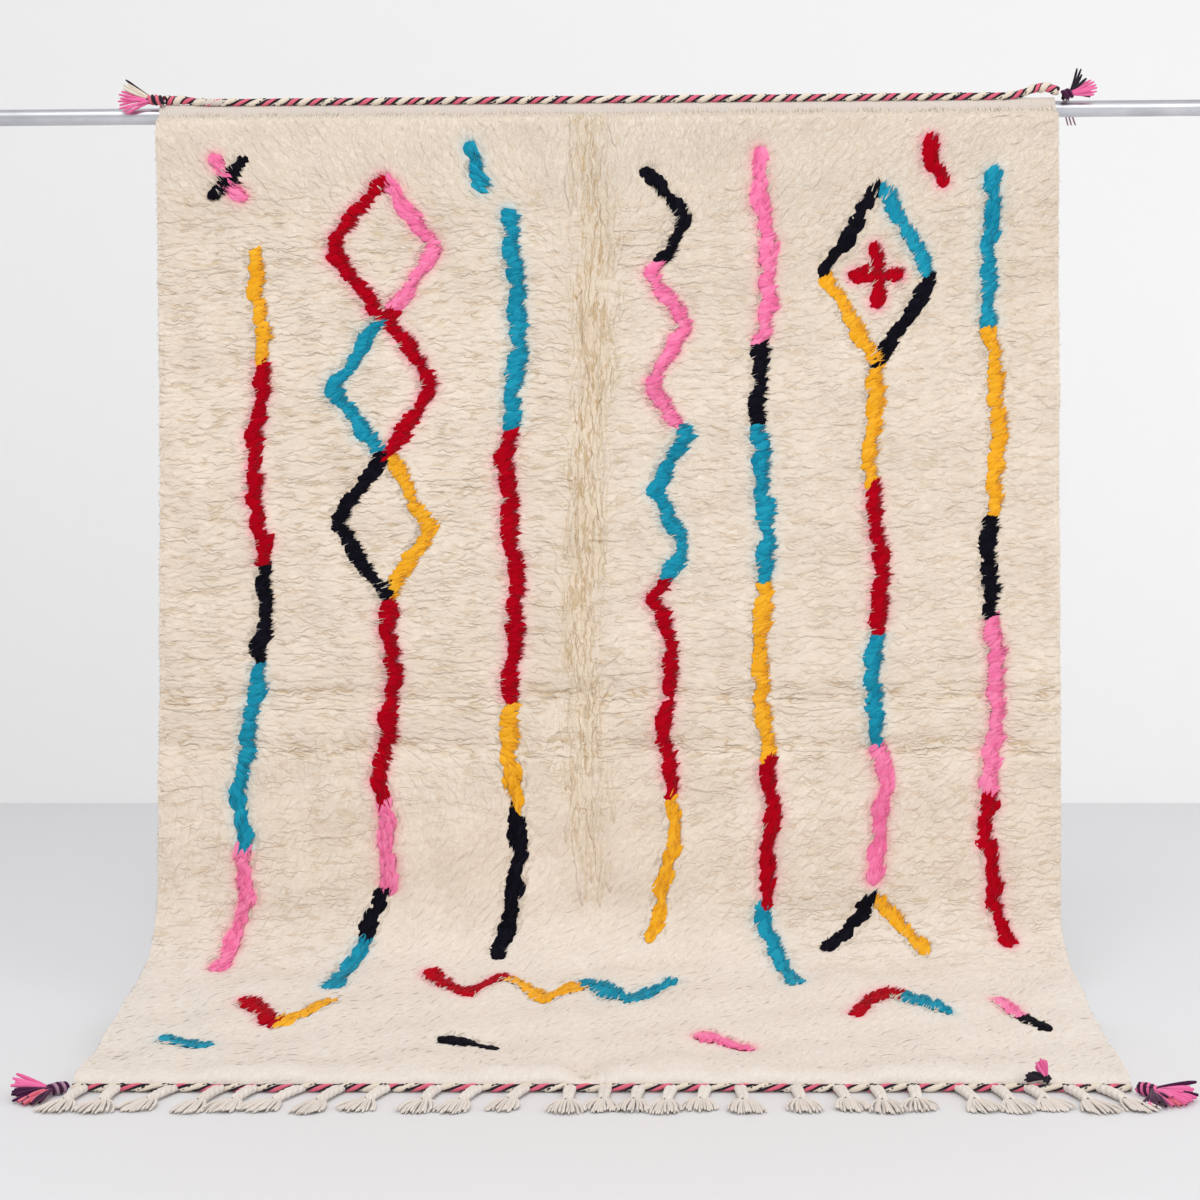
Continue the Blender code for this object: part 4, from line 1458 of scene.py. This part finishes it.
def side_hairs(side, outward):
    """Hairs that stand out of a selvedge."""
    along = rng.uniform(FIRST_KNOTS, LAST_KNOTS - 0.01, 1000)
    edge = selvedge(along, side)
    lift = pile_top(edge - outward * 0.01, along) * rng.uniform(0.15, 0.95, len(along))
    roots = np.stack([edge - outward * 0.002, along, lift], -1)
    reach = rng.uniform(0.002, 0.0048, len(along))
    tips = np.stack([edge + outward * reach, along + rng.uniform(-0.002, 0.008, len(along)), lift * 0.96], -1)
    return roots, tips, rng.uniform(0.0004, 0.0008, len(along))


def front_hairs():
    """Hairs that lie forward from the front skirt."""
    x = rng.uniform(selvedge(run.length, 1) + 0.004, selvedge(run.length, 2) - 0.002, 1100)
    start = run.length - rng.uniform(0.012, 0.034, len(x))
    level = (run.length - start) * 0.52 + 0.002
    roots = np.stack([x, start, level], -1)
    tips = np.stack([x - rng.uniform(-0.002, 0.006, len(x)), start + 0.011, level - 0.0045], -1)
    return roots, tips, rng.uniform(0.0006, 0.0012, len(x))


def head_hairs():
    """Tufts of the first knots, lying upward over the head strip."""
    x = rng.uniform(selvedge(0.05, 1) + 0.002, selvedge(0.05, 2) - 0.002, 1150)
    start = FIRST_KNOTS + rng.uniform(-0.003, 0.006, len(x))
    reach = rng.uniform(0.005, 0.011, len(x)) * (0.8 + 0.4 * np.sin(x * 31) ** 2)
    lean = -0.45 * np.sin(x * 2.2) + rng.normal(0, 0.16, len(x))
    ends = np.maximum(start - reach, 0.009)
    roots = np.stack([x, start, pile_top(x, start) * 0.80], -1)
    tips = np.stack([x + reach * lean, ends, pile_top(x, ends)], -1)
    return roots, tips, rng.uniform(0.0011, 0.0019, len(x))


# %% Rims and hair
edge_travel = np.arange(FIRST_KNOTS - 0.004, LAST_KNOTS - 0.006, 0.0029)
skirt("rim_left", edge_travel, side_surface(1, -1))
skirt("rim_right", edge_travel, side_surface(2, 1))
front_travel = np.arange(selvedge(run.length, 1) + 0.001, selvedge(run.length, 2) - 0.001, 0.0021)
skirt("rim_front", front_travel, front_surface)
hairs("hair_left", *side_hairs(1, -1), CREAM)
hairs("hair_right", *side_hairs(2, 1), CREAM)
hairs("hair_front", *front_hairs(), CREAM)
hairs("hair_head", *head_hairs(), SHADED_HEAD_TUFTS, sides=4, tip=0.4)

# %% [markdown]
# ## The braids
# A cord of pink, black and cream wool is sewn along each cut end. A plain tube with stripes would lose
# its waists, so its strands are tubes that wind round each other, and the pitch wanders a little. Near
# the left corner the strip's edge is folded up over it.

# %% The braids
YARNS = {
    "pink": wool("pink_yarn", tint(232, 124, 142), tint(204, 72, 100), tint(140, 34, 62), fibre=0.0004),
    "mauve": wool("mauve_yarn", tint(186, 150, 170), tint(150, 108, 134), tint(90, 50, 76), fibre=0.0004),
    "black": wool("black_yarn", tint(46, 38, 50), tint(22, 18, 28), tint(6, 5, 9), fibre=0.0004),
    "cream": wool("cream_yarn", tint(236, 224, 208), tint(214, 198, 178), tint(160, 140, 116), fibre=0.0004),
    "plum": wool("plum_yarn", tint(82, 24, 70), tint(48, 10, 44), tint(20, 4, 20), fibre=0.0004),
    "rose": wool("rose_yarn", tint(240, 128, 178), tint(218, 78, 138), tint(146, 30, 88), fibre=0.0004),
}


# %% The braids' paths
def smooth_path(rows, x, columns):
    """Reads a table of corners along x, softened so that no bend is a kink."""
    rows = np.array(rows)
    spread = np.linspace(-0.012, 0.012, 7)
    return [np.mean([np.interp(x + d, rows[:, 0], rows[:, c]) for d in spread], axis=0) for c in columns]


def head_braid_path(x):
    """The cord's middle line over the rod."""
    forward, rise = smooth_path(HEAD_BRAID, x, (1, 2))
    points = place(x, forward, ROD_HEIGHT)
    points[:, 2] += rise
    return points


def front_braid_path(x):
    """The cord's middle line on the floor."""
    return place(x, BRAID_FORWARD + 0.0006 * np.sin(x * 23), 0.0071 + 0.0003 * np.sin(x * 17))


# %% Winding a braid
BRAID_STEP = 0.0027  # from one ring of a strand to the next
TIGHT_PITCH = 0.024  # length of one turn where the cord is wound tighter
PLIES = (
    # yarn, where its strands start round the cord, how far out, thickness, sides
    ("pink", (0.0,), 1.0, 0.98, 7),
    ("black", (1.15, -1.25), 1.25, 0.62, 5),
    ("cream", (math.pi,), 1.0, 1.22, 7),
    ("thread", (2.45, 3.85), 1.70, 0.38, 4),
)


def even_steps(path, ends):
    """Evenly spaced points along a path, with the travel and the x of each."""
    fine = np.arange(*ends, 0.0004)
    line = path(fine)
    travelled = distances(line)
    travel = np.arange(0.0, travelled[-1], BRAID_STEP)
    points = np.stack([np.interp(travel, travelled, line[:, k]) for k in range(3)], -1)
    return travel, np.interp(travel, travelled, fine), points


def directions(points):
    """Unit directions square to a line that runs to the right: upward, and back towards the wall."""
    ahead = unit(np.gradient(points, axis=0))
    over = unit(np.cross(ahead, (0.0, 1.0, 0.0)))
    return over, np.cross(over, ahead)


def tightness(x, tight):
    """1 in the stretches of x that are wound tighter, 0 elsewhere, with soft ends."""
    soft = 0.012
    shares = [ramp(x, low - soft, low + soft) * ramp(x, high + soft, high - soft) for low, high in tight]
    return sum(shares, 0.0 * x)


def lay_braid(node, path, ends, pitch, rise, tight=()):
    """A pink and a cream ply wound round each other, with black strands between them and threads on top.

    tight gives the stretches of x, start and end, where the strands are wound thicker and steeper.
    """
    steps, x, centre = even_steps(path, ends)
    over, behind = directions(centre)
    close = tightness(x, tight)
    pitches = pitch + (TIGHT_PITCH - pitch) * close
    rise = rise * (1.0 + 0.30 * close)
    turn = -math.tau * np.cumsum(BRAID_STEP / pitches) + 0.9 * np.sin(x * 9.0) + 0.5 * np.sin(x * 31.0)
    for yarn, phases, out, size, sides in PLIES:
        paths, radii = [], []
        for phase in phases:
            angle = turn + phase
            away = behind * (np.cos(angle) * rise * 0.75 * out)[:, None]
            away = away + over * (np.sin(angle) * rise * out)[:, None]
            uneven = np.sin(x * 160 + 5 * phase + 2 * np.sin(x * 47))
            swell = 1 + 0.16 * np.cos(angle + math.pi) + 0.12 * uneven
            if yarn == "thread":
                swell = swell * (0.30 + 0.95 * (np.sin(x * 900 + phase) > -0.1))
            paths.append(centre + away)
            radii.append(size * rise * swell)
        rings = tubes_along(np.array(paths), np.array(radii), sides)
        travel = np.broadcast_to(steps[None, :, None], rings.shape[:3])
        around = np.arange(sides)[None, None] * 0.0023 + travel * 0.6
        finish = YARNS["black" if yarn == "thread" else yarn]
        looks = {"values": {"tone": 0.5, "depth": 0.1}, "maps": {"fibre": np.stack([travel, around], -1)}}
        piece = join_grids(f"{node}_{yarn}", rings, finish, around=True, **looks)
        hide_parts(node)
    print(node, len(steps), "steps")


# %% The lap over the head braid
def lap_over_braid(start, end):
    """Near the left corner the strip's edge is folded up over the braid for a hand's breadth."""
    x = np.linspace(start, end, 130)[None]
    turn = np.radians(np.linspace(-75, 190, 15))[:, None]
    ends = ramp(x, start, start + 0.012) * ramp(x, end, end - 0.012)
    ribs = np.abs(np.sin(x * math.pi / WARP_PITCH + turn * 0.6))
    size = BRAID_RADIUS * (0.75 + 0.35 * ends) + 0.0007 * ribs
    centre = head_braid_path(x[0])[None]
    y = centre[..., 1] - np.cos(turn) * size
    z = centre[..., 2] + np.sin(turn) * size
    fibre = np.stack([x + 0.0 * turn, turn * 0.006 + 0.0 * x], -1)[None]
    points = np.stack([x + 0.0 * turn, y, z], -1)[None]
    return join_grids("braid_lap", points, HEAD_WEAVE, maps={"fibre": fibre})


# %% Both braids
lap_over_braid(-0.682, -0.622)
tight = ((-1.0, -0.700), (0.726, 1.0))
lay_braid("head_braid", head_braid_path, (HEAD_BRAID[0][0], HEAD_BRAID[-1][0]), 0.042, 0.0032, tight)
lay_braid("front_braid", front_braid_path, FRONT_BRAID, 0.052, 0.0028)

# %% [markdown]
# ## The fringe
# At the front end the warps are gathered into tassels. Each has a plaited neck that comes out under the
# braid, and beyond it a dozen loose strands with blunt ends fan out on the floor.

# %% The fringe
FRINGE = (
    # root x, tip x
    (-0.712, -0.726), (-0.668, -0.672), (-0.588, -0.622), (-0.523, -0.549), (-0.478, -0.503),
    (-0.412, -0.456), (-0.358, -0.392), (-0.295, -0.326), (-0.225, -0.246), (-0.168, -0.199),
    (-0.103, -0.134), (-0.041, -0.046), (0.008, 0.001), (0.054, 0.043), (0.099, 0.083), (0.146, 0.132),
    (0.193, 0.195), (0.270, 0.273), (0.329, 0.336), (0.380, 0.383), (0.4325, 0.425), (0.496, 0.513),
    (0.547, 0.559), (0.591, 0.609), (0.646, 0.667), (0.690, 0.722),
)
FRINGE_REACH = 0.104  # length of a tassel on the floor, and how much that swings from one to the next
FRINGE_SWING = 0.007
FRINGE_NECK = 0.50  # the plaited share of it
FRINGE_START = BRAID_FORWARD + BRAID_RADIUS + GAP
WARP = wool("warp_yarn", tint(233, 225, 217), tint(212, 201, 191), tint(162, 146, 134), fibre=0.0004)


# %% Bundles of strands
def bundle(name, paths, radii, sides, material, tone, up=(0.0, 0.0, 1.0), depth=0.0):
    """Strands along many paths of the same number of steps."""
    rings = tubes_along(paths, radii, sides, up)
    count = len(paths)
    stretch = np.concatenate([np.zeros((count, 1)), np.linalg.norm(np.diff(paths, axis=1), axis=2)], axis=1)
    travel = np.cumsum(stretch, axis=1)[..., None] + each(rng.uniform(0, 5, count))
    round_it = np.arange(sides)[None, None] * 0.0022 + travel * 0.5
    maps = {"fibre": np.stack([travel + 0 * round_it, round_it], -1)}
    values = {"tone": each(tone), "depth": depth}
    return join_grids(name, rings, material, around=True, values=values, maps=maps)


# %% A fringe tassel
def plaited_neck(root, neck_x, start, end):
    """Three strands that pass over and under each other on their way from the braid."""
    share = np.linspace(0.0, 1.0, 17)
    forward = start - 0.004 + (end + 0.006 - start) * share
    middle = root + (neck_x - root) * share
    width = 0.0052 * (1.0 - 0.25 * share)
    height = 0.0072 + 0.0016 * np.sin(share * math.pi) - 0.0012 * share
    paths = []
    for k in range(3):
        turn = share * math.tau * 1.6 + math.tau * k / 3
        x = middle + width * np.sin(turn)
        paths.append(place(x, forward, height + 0.0016 * np.sin(2 * turn)))
    radius = np.interp(share, (0.0, 0.12, 0.85, 1.0), (0.0034, 0.0044, 0.0040, 0.0026))
    return paths, radius


def fringe_strands(k, root, tip, reach):
    """The neck's strands and the fan's strands of one tassel."""
    hand = random.Random(200 + k)
    end = FRINGE_START + reach * FRINGE_NECK
    neck_x = root + (tip - root) * 0.62
    neck, neck_radius = plaited_neck(root, neck_x, FRINGE_START, end)
    fan, radii = [], []
    many = hand.choice((15, 16, 16, 17))
    share = np.linspace(0.0, 1.0, 9)
    spread = hand.uniform(0.0215, 0.0275)
    for s in range(many):
        way = 2 * s / (many - 1) - 1 + hand.uniform(-0.06, 0.06)
        over = hand.choice((0.0, 0.0, 1.0, 1.0))
        far = reach * (1.0 - 0.10 * way**2) + hand.uniform(-0.005, 0.002)
        start_x = neck_x + way * 0.0068
        end_x = tip + way * spread
        bow = hand.uniform(-0.0015, 0.0015) + way * 0.0035
        x = start_x + (end_x - start_x) * share**0.85 + bow * np.sin(share * math.pi)
        forward = end - 0.003 + (FRINGE_START + far - end + 0.003) * share
        low = 0.0021 + over * 0.0028
        height = 0.0070 + (low - 0.0070) * share**0.7 + hand.uniform(0, 0.0012) * np.sin(share * math.pi)
        fan.append(place(x, forward, height))
        thick = hand.uniform(0.00175, 0.00205)
        radii.append(thick * np.interp(share, (0.0, 0.1, 0.93, 0.97, 1.0), (0.8, 1.0, 1.05, 0.9, 0.1)))
    return neck, neck_radius, fan, radii


# %% The whole fringe
necks, neck_radii, fans, fan_radii = [], [], [], []
for k, (root, tip) in enumerate(FRINGE):
    neck, radius, fan, radii = fringe_strands(k, root, tip, FRINGE_REACH + FRINGE_SWING * math.sin(2.4 * k))
    necks += neck
    neck_radii += [radius] * 3
    fans += fan
    fan_radii += radii
tones = rng.random(len(necks))
fringe_necks = bundle("fringe_necks", np.array(necks), np.array(neck_radii), 7, WARP, tones)
tones = rng.random(len(fans))
fringe_fans = bundle("fringe_fans", np.array(fans), np.array(fan_radii), 5, WARP, tones)
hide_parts(*[f"fringe_{k + 1:02d}" for k in range(len(FRINGE))])
print("fringe", len(fans), "strands")

# %% [markdown]
# ## The dyed tassels
# The braids' ends are bound with a coil of coloured yarn and open into a brush of pink and plum strands.
# Two lie on the floor at the front corners, and two rest against the rod.

# %% The dyed tassels
BRUSHES = {
    # for each yarn its strands: angle in degrees from the tassel's own direction, length, lift at the tip
    "tassel_front_left": {
        "pink": (
            (9, 0.072, 0.003), (13, 0.078, 0.004), (22, 0.079, 0.003), (27, 0.071, 0.003),
            (16, 0.064, 0.008),
        ),
        "plum": (
            (-15, 0.070, 0.012), (-10, 0.074, 0.011), (-5, 0.076, 0.009), (0, 0.072, 0.008),
            (4, 0.079, 0.003), (18, 0.074, 0.003), (31, 0.075, 0.003), (37, 0.066, 0.003),
            (-8, 0.064, 0.012),
        ),
        "rose": (
            (-38, 0.068, 0.027), (-32, 0.072, 0.023), (-27, 0.068, 0.019), (-22, 0.074, 0.016),
            (-20, 0.060, 0.014),
        ),
    },
    "tassel_front_right": {
        "pink": (
            (-17, 0.079, 0.003),
        ),
        "plum": (
            (-62, 0.074, 0.003), (-46, 0.081, 0.003), (-36, 0.080, 0.004), (-50, 0.066, 0.006),
            (-40, 0.070, 0.007), (20, 0.080, 0.008), (44, 0.078, 0.018), (-20, 0.056, 0.009),
        ),
        "rose": (
            (-54, 0.078, 0.003), (-26, 0.078, 0.003), (-10, 0.080, 0.003), (-4, 0.078, 0.004),
            (2, 0.080, 0.005), (8, 0.076, 0.006), (14, 0.079, 0.006), (25, 0.072, 0.010),
            (31, 0.073, 0.012), (36, 0.068, 0.013), (-14, 0.060, 0.009), (12, 0.062, 0.012),
        ),
    },
    "tassel_head_left": {
        "black": (
            (-27, 0.072, 0.004),
        ),
        "cream": (
            (-23, 0.066, 0.005), (-19, 0.073, 0.003), (-14, 0.070, 0.005),
        ),
        "rose": (
            (-9, 0.072, 0.003), (-4, 0.075, 0.005), (1, 0.073, 0.003), (6, 0.076, 0.006),
            (11, 0.074, 0.004), (16, 0.075, 0.006), (21, 0.070, 0.004), (26, 0.066, 0.005),
            (3, 0.060, 0.009),
        ),
    },
    "tassel_head_right": {
        "black": (
            (58, 0.050, 0.004), (50, 0.052, 0.006), (41, 0.046, 0.004), (27, 0.047, 0.006),
        ),
        "plum": (
            (-16, 0.046, 0.004),
        ),
        "rose": (
            (19, 0.053, 0.004), (13, 0.056, 0.006), (7, 0.058, 0.004), (1, 0.058, 0.006),
            (-5, 0.057, 0.004), (-11, 0.052, 0.005), (-2, 0.046, 0.009),
        ),
    },
    "tuft_front": {
        "black": (
            (48, 0.030, 0.004), (42, 0.034, 0.006), (35, 0.031, 0.003), (28, 0.034, 0.006),
            (21, 0.031, 0.004), (14, 0.027, 0.005),
        ),
        "rose": (
            (-8, 0.027, 0.003), (-16, 0.032, 0.006), (-24, 0.030, 0.003), (-32, 0.033, 0.005),
            (-40, 0.030, 0.003), (-48, 0.028, 0.005),
        ),
    },
}
NECKS = {
    # length, radius and turns of the coil, and its two yarns
    "tassel_front_left": (0.027, 0.0064, 5, "plum", "mauve"),
    "tassel_front_right": (0.028, 0.0072, 6, "plum", "rose"),
    "tassel_head_left": (0.026, 0.0060, 4, "black", "pink"),
    "tassel_head_right": (0.015, 0.0060, 2, "plum", "plum"),
    "tuft_front": (0.009, 0.0045, 2, "black", "black"),
}


# %% The tassels' own directions
def laid_flat(corner_x, forward, heading, base):
    """A tassel's own directions on the floor, turned by heading degrees from straight forward."""
    turn = math.radians(heading)
    ahead, side = (math.sin(turn), math.cos(turn)), (math.cos(turn), -math.sin(turn))

    def point(along, across, up):
        x = corner_x + along * ahead[0] + across * side[0]
        return place(x, forward + along * ahead[1] + across * side[1], base + up)

    return point


def held_upright(x, forward, height, heading):
    """A tassel's own directions in an upright plane, turned by heading degrees from straight right."""
    turn = math.radians(heading)

    def point(along, across, up):
        right = along * math.cos(turn) - across * math.sin(turn)
        rise = along * math.sin(turn) + across * math.cos(turn)
        spot = place(x + right, forward + up, height)
        return spot + np.stack([0 * rise, 0 * rise, rise], -1)

    return point


# height of the necks of the tassels that lie on the floor
FLOOR_BASE = {"tassel_front_left": 0.0094, "tassel_front_right": 0.0099}
PLACES = {
    "tassel_front_left": laid_flat(-0.7345, BRAID_FORWARD + 0.004, -50, FLOOR_BASE["tassel_front_left"]),
    "tassel_front_right": laid_flat(0.7400, BRAID_FORWARD + 0.010, 43, FLOOR_BASE["tassel_front_right"]),
    "tassel_head_left": held_upright(-0.7285, 0.0205, ROD_HEIGHT + 0.0215, 176),
    "tassel_head_right": held_upright(0.7720, 0.0225, ROD_HEIGHT + 0.0170, 10),
    "tuft_front": held_upright(0.6200, DRAPE[-1][0] + 0.004, 0.0160, 140),
}


# %% Coil and brush
def coil_paths(point, length, radius, turns):
    """Two yarns wound side by side round the neck."""
    share = np.linspace(0.0, 1.0, 14 * turns)
    paths = []
    for half_turn in (0.0, math.pi):
        angle = share * math.tau * turns / 2 + half_turn
        swell = radius * (0.80 + 0.25 * np.sin(share * math.pi))
        paths.append(point(length * share, swell * np.cos(angle), swell * np.sin(angle)))
    return paths


def brush_paths(rows, point, length, radius, base, hand):
    """Strands that fan out of the coil, and their radii. A base is the height above the floor they lie on."""
    share = np.append(np.linspace(0.0, 0.97, 8), 1.0)
    taper = np.interp(share, (0, 0.1, 0.9, 1.0), (0.8, 1.0, 1.05, 0.6))
    arch = np.sin(share * math.pi)
    paths, radii = [], []
    for angle, far, tip_up in rows:
        turn = math.radians(angle)
        start = (length * 0.8, radius * 0.6 * math.sin(turn * 2.2), hand.uniform(-0.3, 0.5) * radius)
        end = (far * math.cos(turn) + 0.01 * (1 - math.cos(turn)), far * math.sin(turn) * 0.92)
        along = start[0] + (end[0] - start[0]) * share
        across = start[1] + (end[1] - start[1]) * share**1.25 + hand.uniform(-0.002, 0.002) * arch
        floor_up = tip_up + (0.0018 - base if base else -0.003)
        up = start[2] + (floor_up - start[2]) * share + hand.uniform(0.0, 0.002) * arch
        paths.append(point(along, across, np.maximum(up, 0.0034 - base) if base else up))
        radii.append(hand.uniform(0.0019, 0.0024) * (1.35 if base else 1.0) * taper)
    return np.array(paths), np.array(radii)


def tie_coil(name, point, length, radius, turns, yarns):
    """The coil round a tassel's neck, and the core under it. Returns the coil's first yarn."""
    made = []
    for number, yarn in enumerate(yarns):
        path = coil_paths(point, length, radius, turns)[number]
        thick = np.full((1, len(path)), length / turns * 0.46)
        coil = f"{name}_coil_{number + 1}"
        made.append(bundle(coil, path[None], thick, 7, YARNS[yarn], np.array([0.5]), up=(0.3, 0.5, 0.8)))
    core = point(np.linspace(0, length * 1.1, 6), np.zeros(6), np.zeros(6))
    thick = np.full((1, 6), radius * 0.8)
    # The core is painted browner, as shade under the coil.
    bundle(f"{name}_core", core[None], thick, 8, YARNS[yarns[0]], np.array([0.5]), depth=0.5)
    return made[0]


# %% Tying the tassels
for name, brush in BRUSHES.items():
    length, radius, turns, *yarns = NECKS[name]
    coil = tie_coil(name, PLACES[name], length, radius, turns, yarns)
    strands = sum(len(rows) for rows in brush.values())
    for yarn, rows in brush.items():
        hand = random.Random(len(yarn) * 7 + strands)
        paths, radii = brush_paths(rows, PLACES[name], length, radius, FLOOR_BASE.get(name), hand)
        tone = np.array([hand.random() for _ in paths])
        bundle(f"{name}_{yarn}", paths, radii, 6, YARNS[yarn], tone, up=(0.2, 0.4, 0.9))
    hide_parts(name)
    print(name, strands, "strands")

# %% [markdown]
# ## Strands over the rod
# Three strands of the right head tassel have fallen behind the rod. All follow one line over its top and
# down its back, drawn from the side, and they spread a little to the right.

# %% Strands over the rod
OVER_ROD = (
    # forward and up from the rod's axis: over its top and down behind it
    (0.0190, 0.0185),
    (0.0100, 0.0180),
    (0.0010, 0.0165),
    (-0.0070, 0.0145),
    (-0.0125, 0.0095),
    (-0.0160, 0.0020),
    (-0.0165, -0.0065),
    (-0.0155, -0.0150),
    (-0.0140, -0.0235),
)
forward, up = np.array(OVER_ROD).T
STRAY_ENDS = ((0.776, 0.7905), (0.779, 0.7965), (0.782, 0.803))  # x at the top and at the tip
strays = [place(np.linspace(*ends, len(OVER_ROD)), forward, ROD_HEIGHT + up) for ends in STRAY_ENDS]
thick = np.full((len(STRAY_ENDS), len(OVER_ROD)), 0.0014)
tone = np.array([0.2, 0.5, 0.8])
bundle("tassel_head_right_strays", np.array(strays), thick, 5, YARNS["mauve"], tone)
print("strays behind the rod", len(strays))

# %% [markdown]
# ## The rod
# A metal tube with a satin face. Its outline is turned round its axis, and its streaks are noise that is
# long in one direction and short in the other.


# %% The rod
def satin_metal():
    """Metal whose tone and roughness vary in broad and fine streaks."""
    finish = Finish("satin_metal", Metallic=1.0)
    broad, narrow = (14.0, 30.0, 30.0), (260.0, 12.0, 12.0)
    broad_on = finish.node("ShaderNodeMapping", {}, {"Vector": finish.space(), "Scale": broad})
    streaks = finish.noise(broad_on, 1.0, 4.0, 0.6)
    fine_on = finish.node("ShaderNodeMapping", {}, {"Vector": finish.space(), "Scale": narrow})
    fine = finish.noise(fine_on, 1.0, 2.0)
    color = finish.blend((streaks * 1.6 - 0.35).clamped(), tint(224, 224, 227), tint(184, 186, 191))
    finish.use(Base_Color=color, Roughness=(0.20 + streaks * 0.22 + fine * 0.08).clamped())
    finish.raise_by(fine * 0.4 + streaks * 0.6, 0.0002, 0.5)
    return finish.material


def turned_rod():
    """The tube's outline from its far bore, round its rim, along its skin and back into the other end."""
    half, wall, rim = ROD_LENGTH / 2, 0.0015, 0.0005
    inner = ROD_RADIUS - wall
    outline = [(half - 0.05, 0.0), (half - 0.05, inner), (half - rim, inner), (half, inner + rim)]
    outline += [(half, ROD_RADIUS - rim), (half - rim, ROD_RADIUS)]
    skin = [(x, ROD_RADIUS) for x in np.linspace(-half + 0.05, half - 0.05, 24)]
    xs, radii = np.array([(-x, r) for x, r in outline] + skin + outline[::-1]).T
    angles = np.arange(64) * math.tau / 64
    centre = place(xs, 0.0, ROD_HEIGHT)
    spokes = np.stack([0 * angles, np.cos(angles), np.sin(angles)], -1)
    return (centre[:, None] + spokes[None] * radii[:, None, None])[None]


rod = join_grids("rod_tube", turned_rod(), satin_metal(), around=True, flip=True)
rod.data.set_sharp_from_angle(angle=math.radians(40))
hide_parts("rod")

# %% [markdown]
# ## Camera
# The photograph was taken from straight ahead, at about the height of the rug's middle, three metres from
# its hanging part.

# %% Camera
camera = put("camera", bpy.data.cameras.new("camera"))
camera.data.sensor_width = 36.0
camera.data.lens = 54.0
camera.location = (0.0, ROD_Y - 3.0265, 0.68)
camera.rotation_euler = (math.radians(90), 0.0, 0.0)
bpy.context.scene.camera = camera
print("camera", camera.data.lens, "mm lens")

# %% [markdown]
# ## Stage
# A pale studio: a floor, a wall three metres behind the rug, and broad soft lights. The wall is seen from
# its front only, so that the rug's back can be looked at too.


# %% Stage
def plain(name, color, roughness):
    """Paint with a faint mottle."""
    finish = Finish(name)
    mottle = finish.noise(finish.space(), 1.3, 2.0)
    shade = (*[c * 0.97 for c in color[:3]], 1.0)
    finish.use(Base_Color=finish.blend((mottle * 0.5 + 0.25).clamped(), color, shade), Roughness=roughness)
    return finish


def front_only(finish):
    """Leaves a surface clear when it is seen from its back."""
    clear = finish.node("ShaderNodeBsdfTransparent")
    back = finish.node("ShaderNodeNewGeometry", out=6)
    solid = Wire(finish, finish.shader.outputs[0])
    mixed = finish.node("ShaderNodeMixShader", {}, {0: back, 1: solid, 2: clear})
    finish.feed(finish.tree.nodes["Material Output"].inputs[0], mixed)
    return finish


def quad(name, corners, finish):
    mesh = bpy.data.meshes.new(name)
    mesh.from_pydata(corners, [], [(0, 1, 2, 3)])
    mesh.materials.append(finish.material)
    put(name, mesh)


WALL_Y = 3.33
floor_paint = plain("floor_paint", tint(227, 227, 229), 0.6)
quad("floor", [(-9, -9, 0), (9, -9, 0), (9, 9, 0), (-9, 9, 0)], floor_paint)
wall_paint = front_only(plain("wall_paint", tint(249, 248, 247), 0.9))
quad("wall", [(-9, WALL_Y, 0), (9, WALL_Y, 0), (9, WALL_Y, 7), (-9, WALL_Y, 7)], wall_paint)
print("stage", WALL_Y, "m back to the wall")


# %% Lights
def soft_light(name, location, target, size, power):
    """A square lamp turned towards its target."""
    lamp = bpy.data.lights.new(name, "AREA")
    lamp.shape, lamp.size, lamp.energy = "SQUARE", size, power
    item = put(name, lamp)
    item.location = location
    item.rotation_euler = (Vector(target) - Vector(location)).to_track_quat("-Z", "Y").to_euler()


soft_light("key", (-0.5, -4.0, 5.0), (0.0, 0.2, 0.8), 2.8, 154)
soft_light("fill", (3.0, -3.4, 2.8), (0.0, 0.2, 0.8), 2.6, 46)
soft_light("wall_wash", (3.1, 0.9, 1.7), (1.7, 3.3, 0.7), 2.4, 8)
world = bpy.data.worlds.new("studio")
world.use_nodes = True
world.node_tree.nodes["Background"].inputs[0].default_value = (0.97, 0.98, 1.0, 1.0)
world.node_tree.nodes["Background"].inputs[1].default_value = 0.67
bpy.context.scene.world = world
bpy.context.scene.view_settings.view_transform = "Standard"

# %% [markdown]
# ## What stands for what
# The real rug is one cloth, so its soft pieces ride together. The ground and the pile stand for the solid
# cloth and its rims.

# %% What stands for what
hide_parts("rug")
rims = [f"side_locks_{side}_{part}" for side in ("left", "right") for part in ("hang", "knee", "floor")]
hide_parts(*rims, "front_locks")
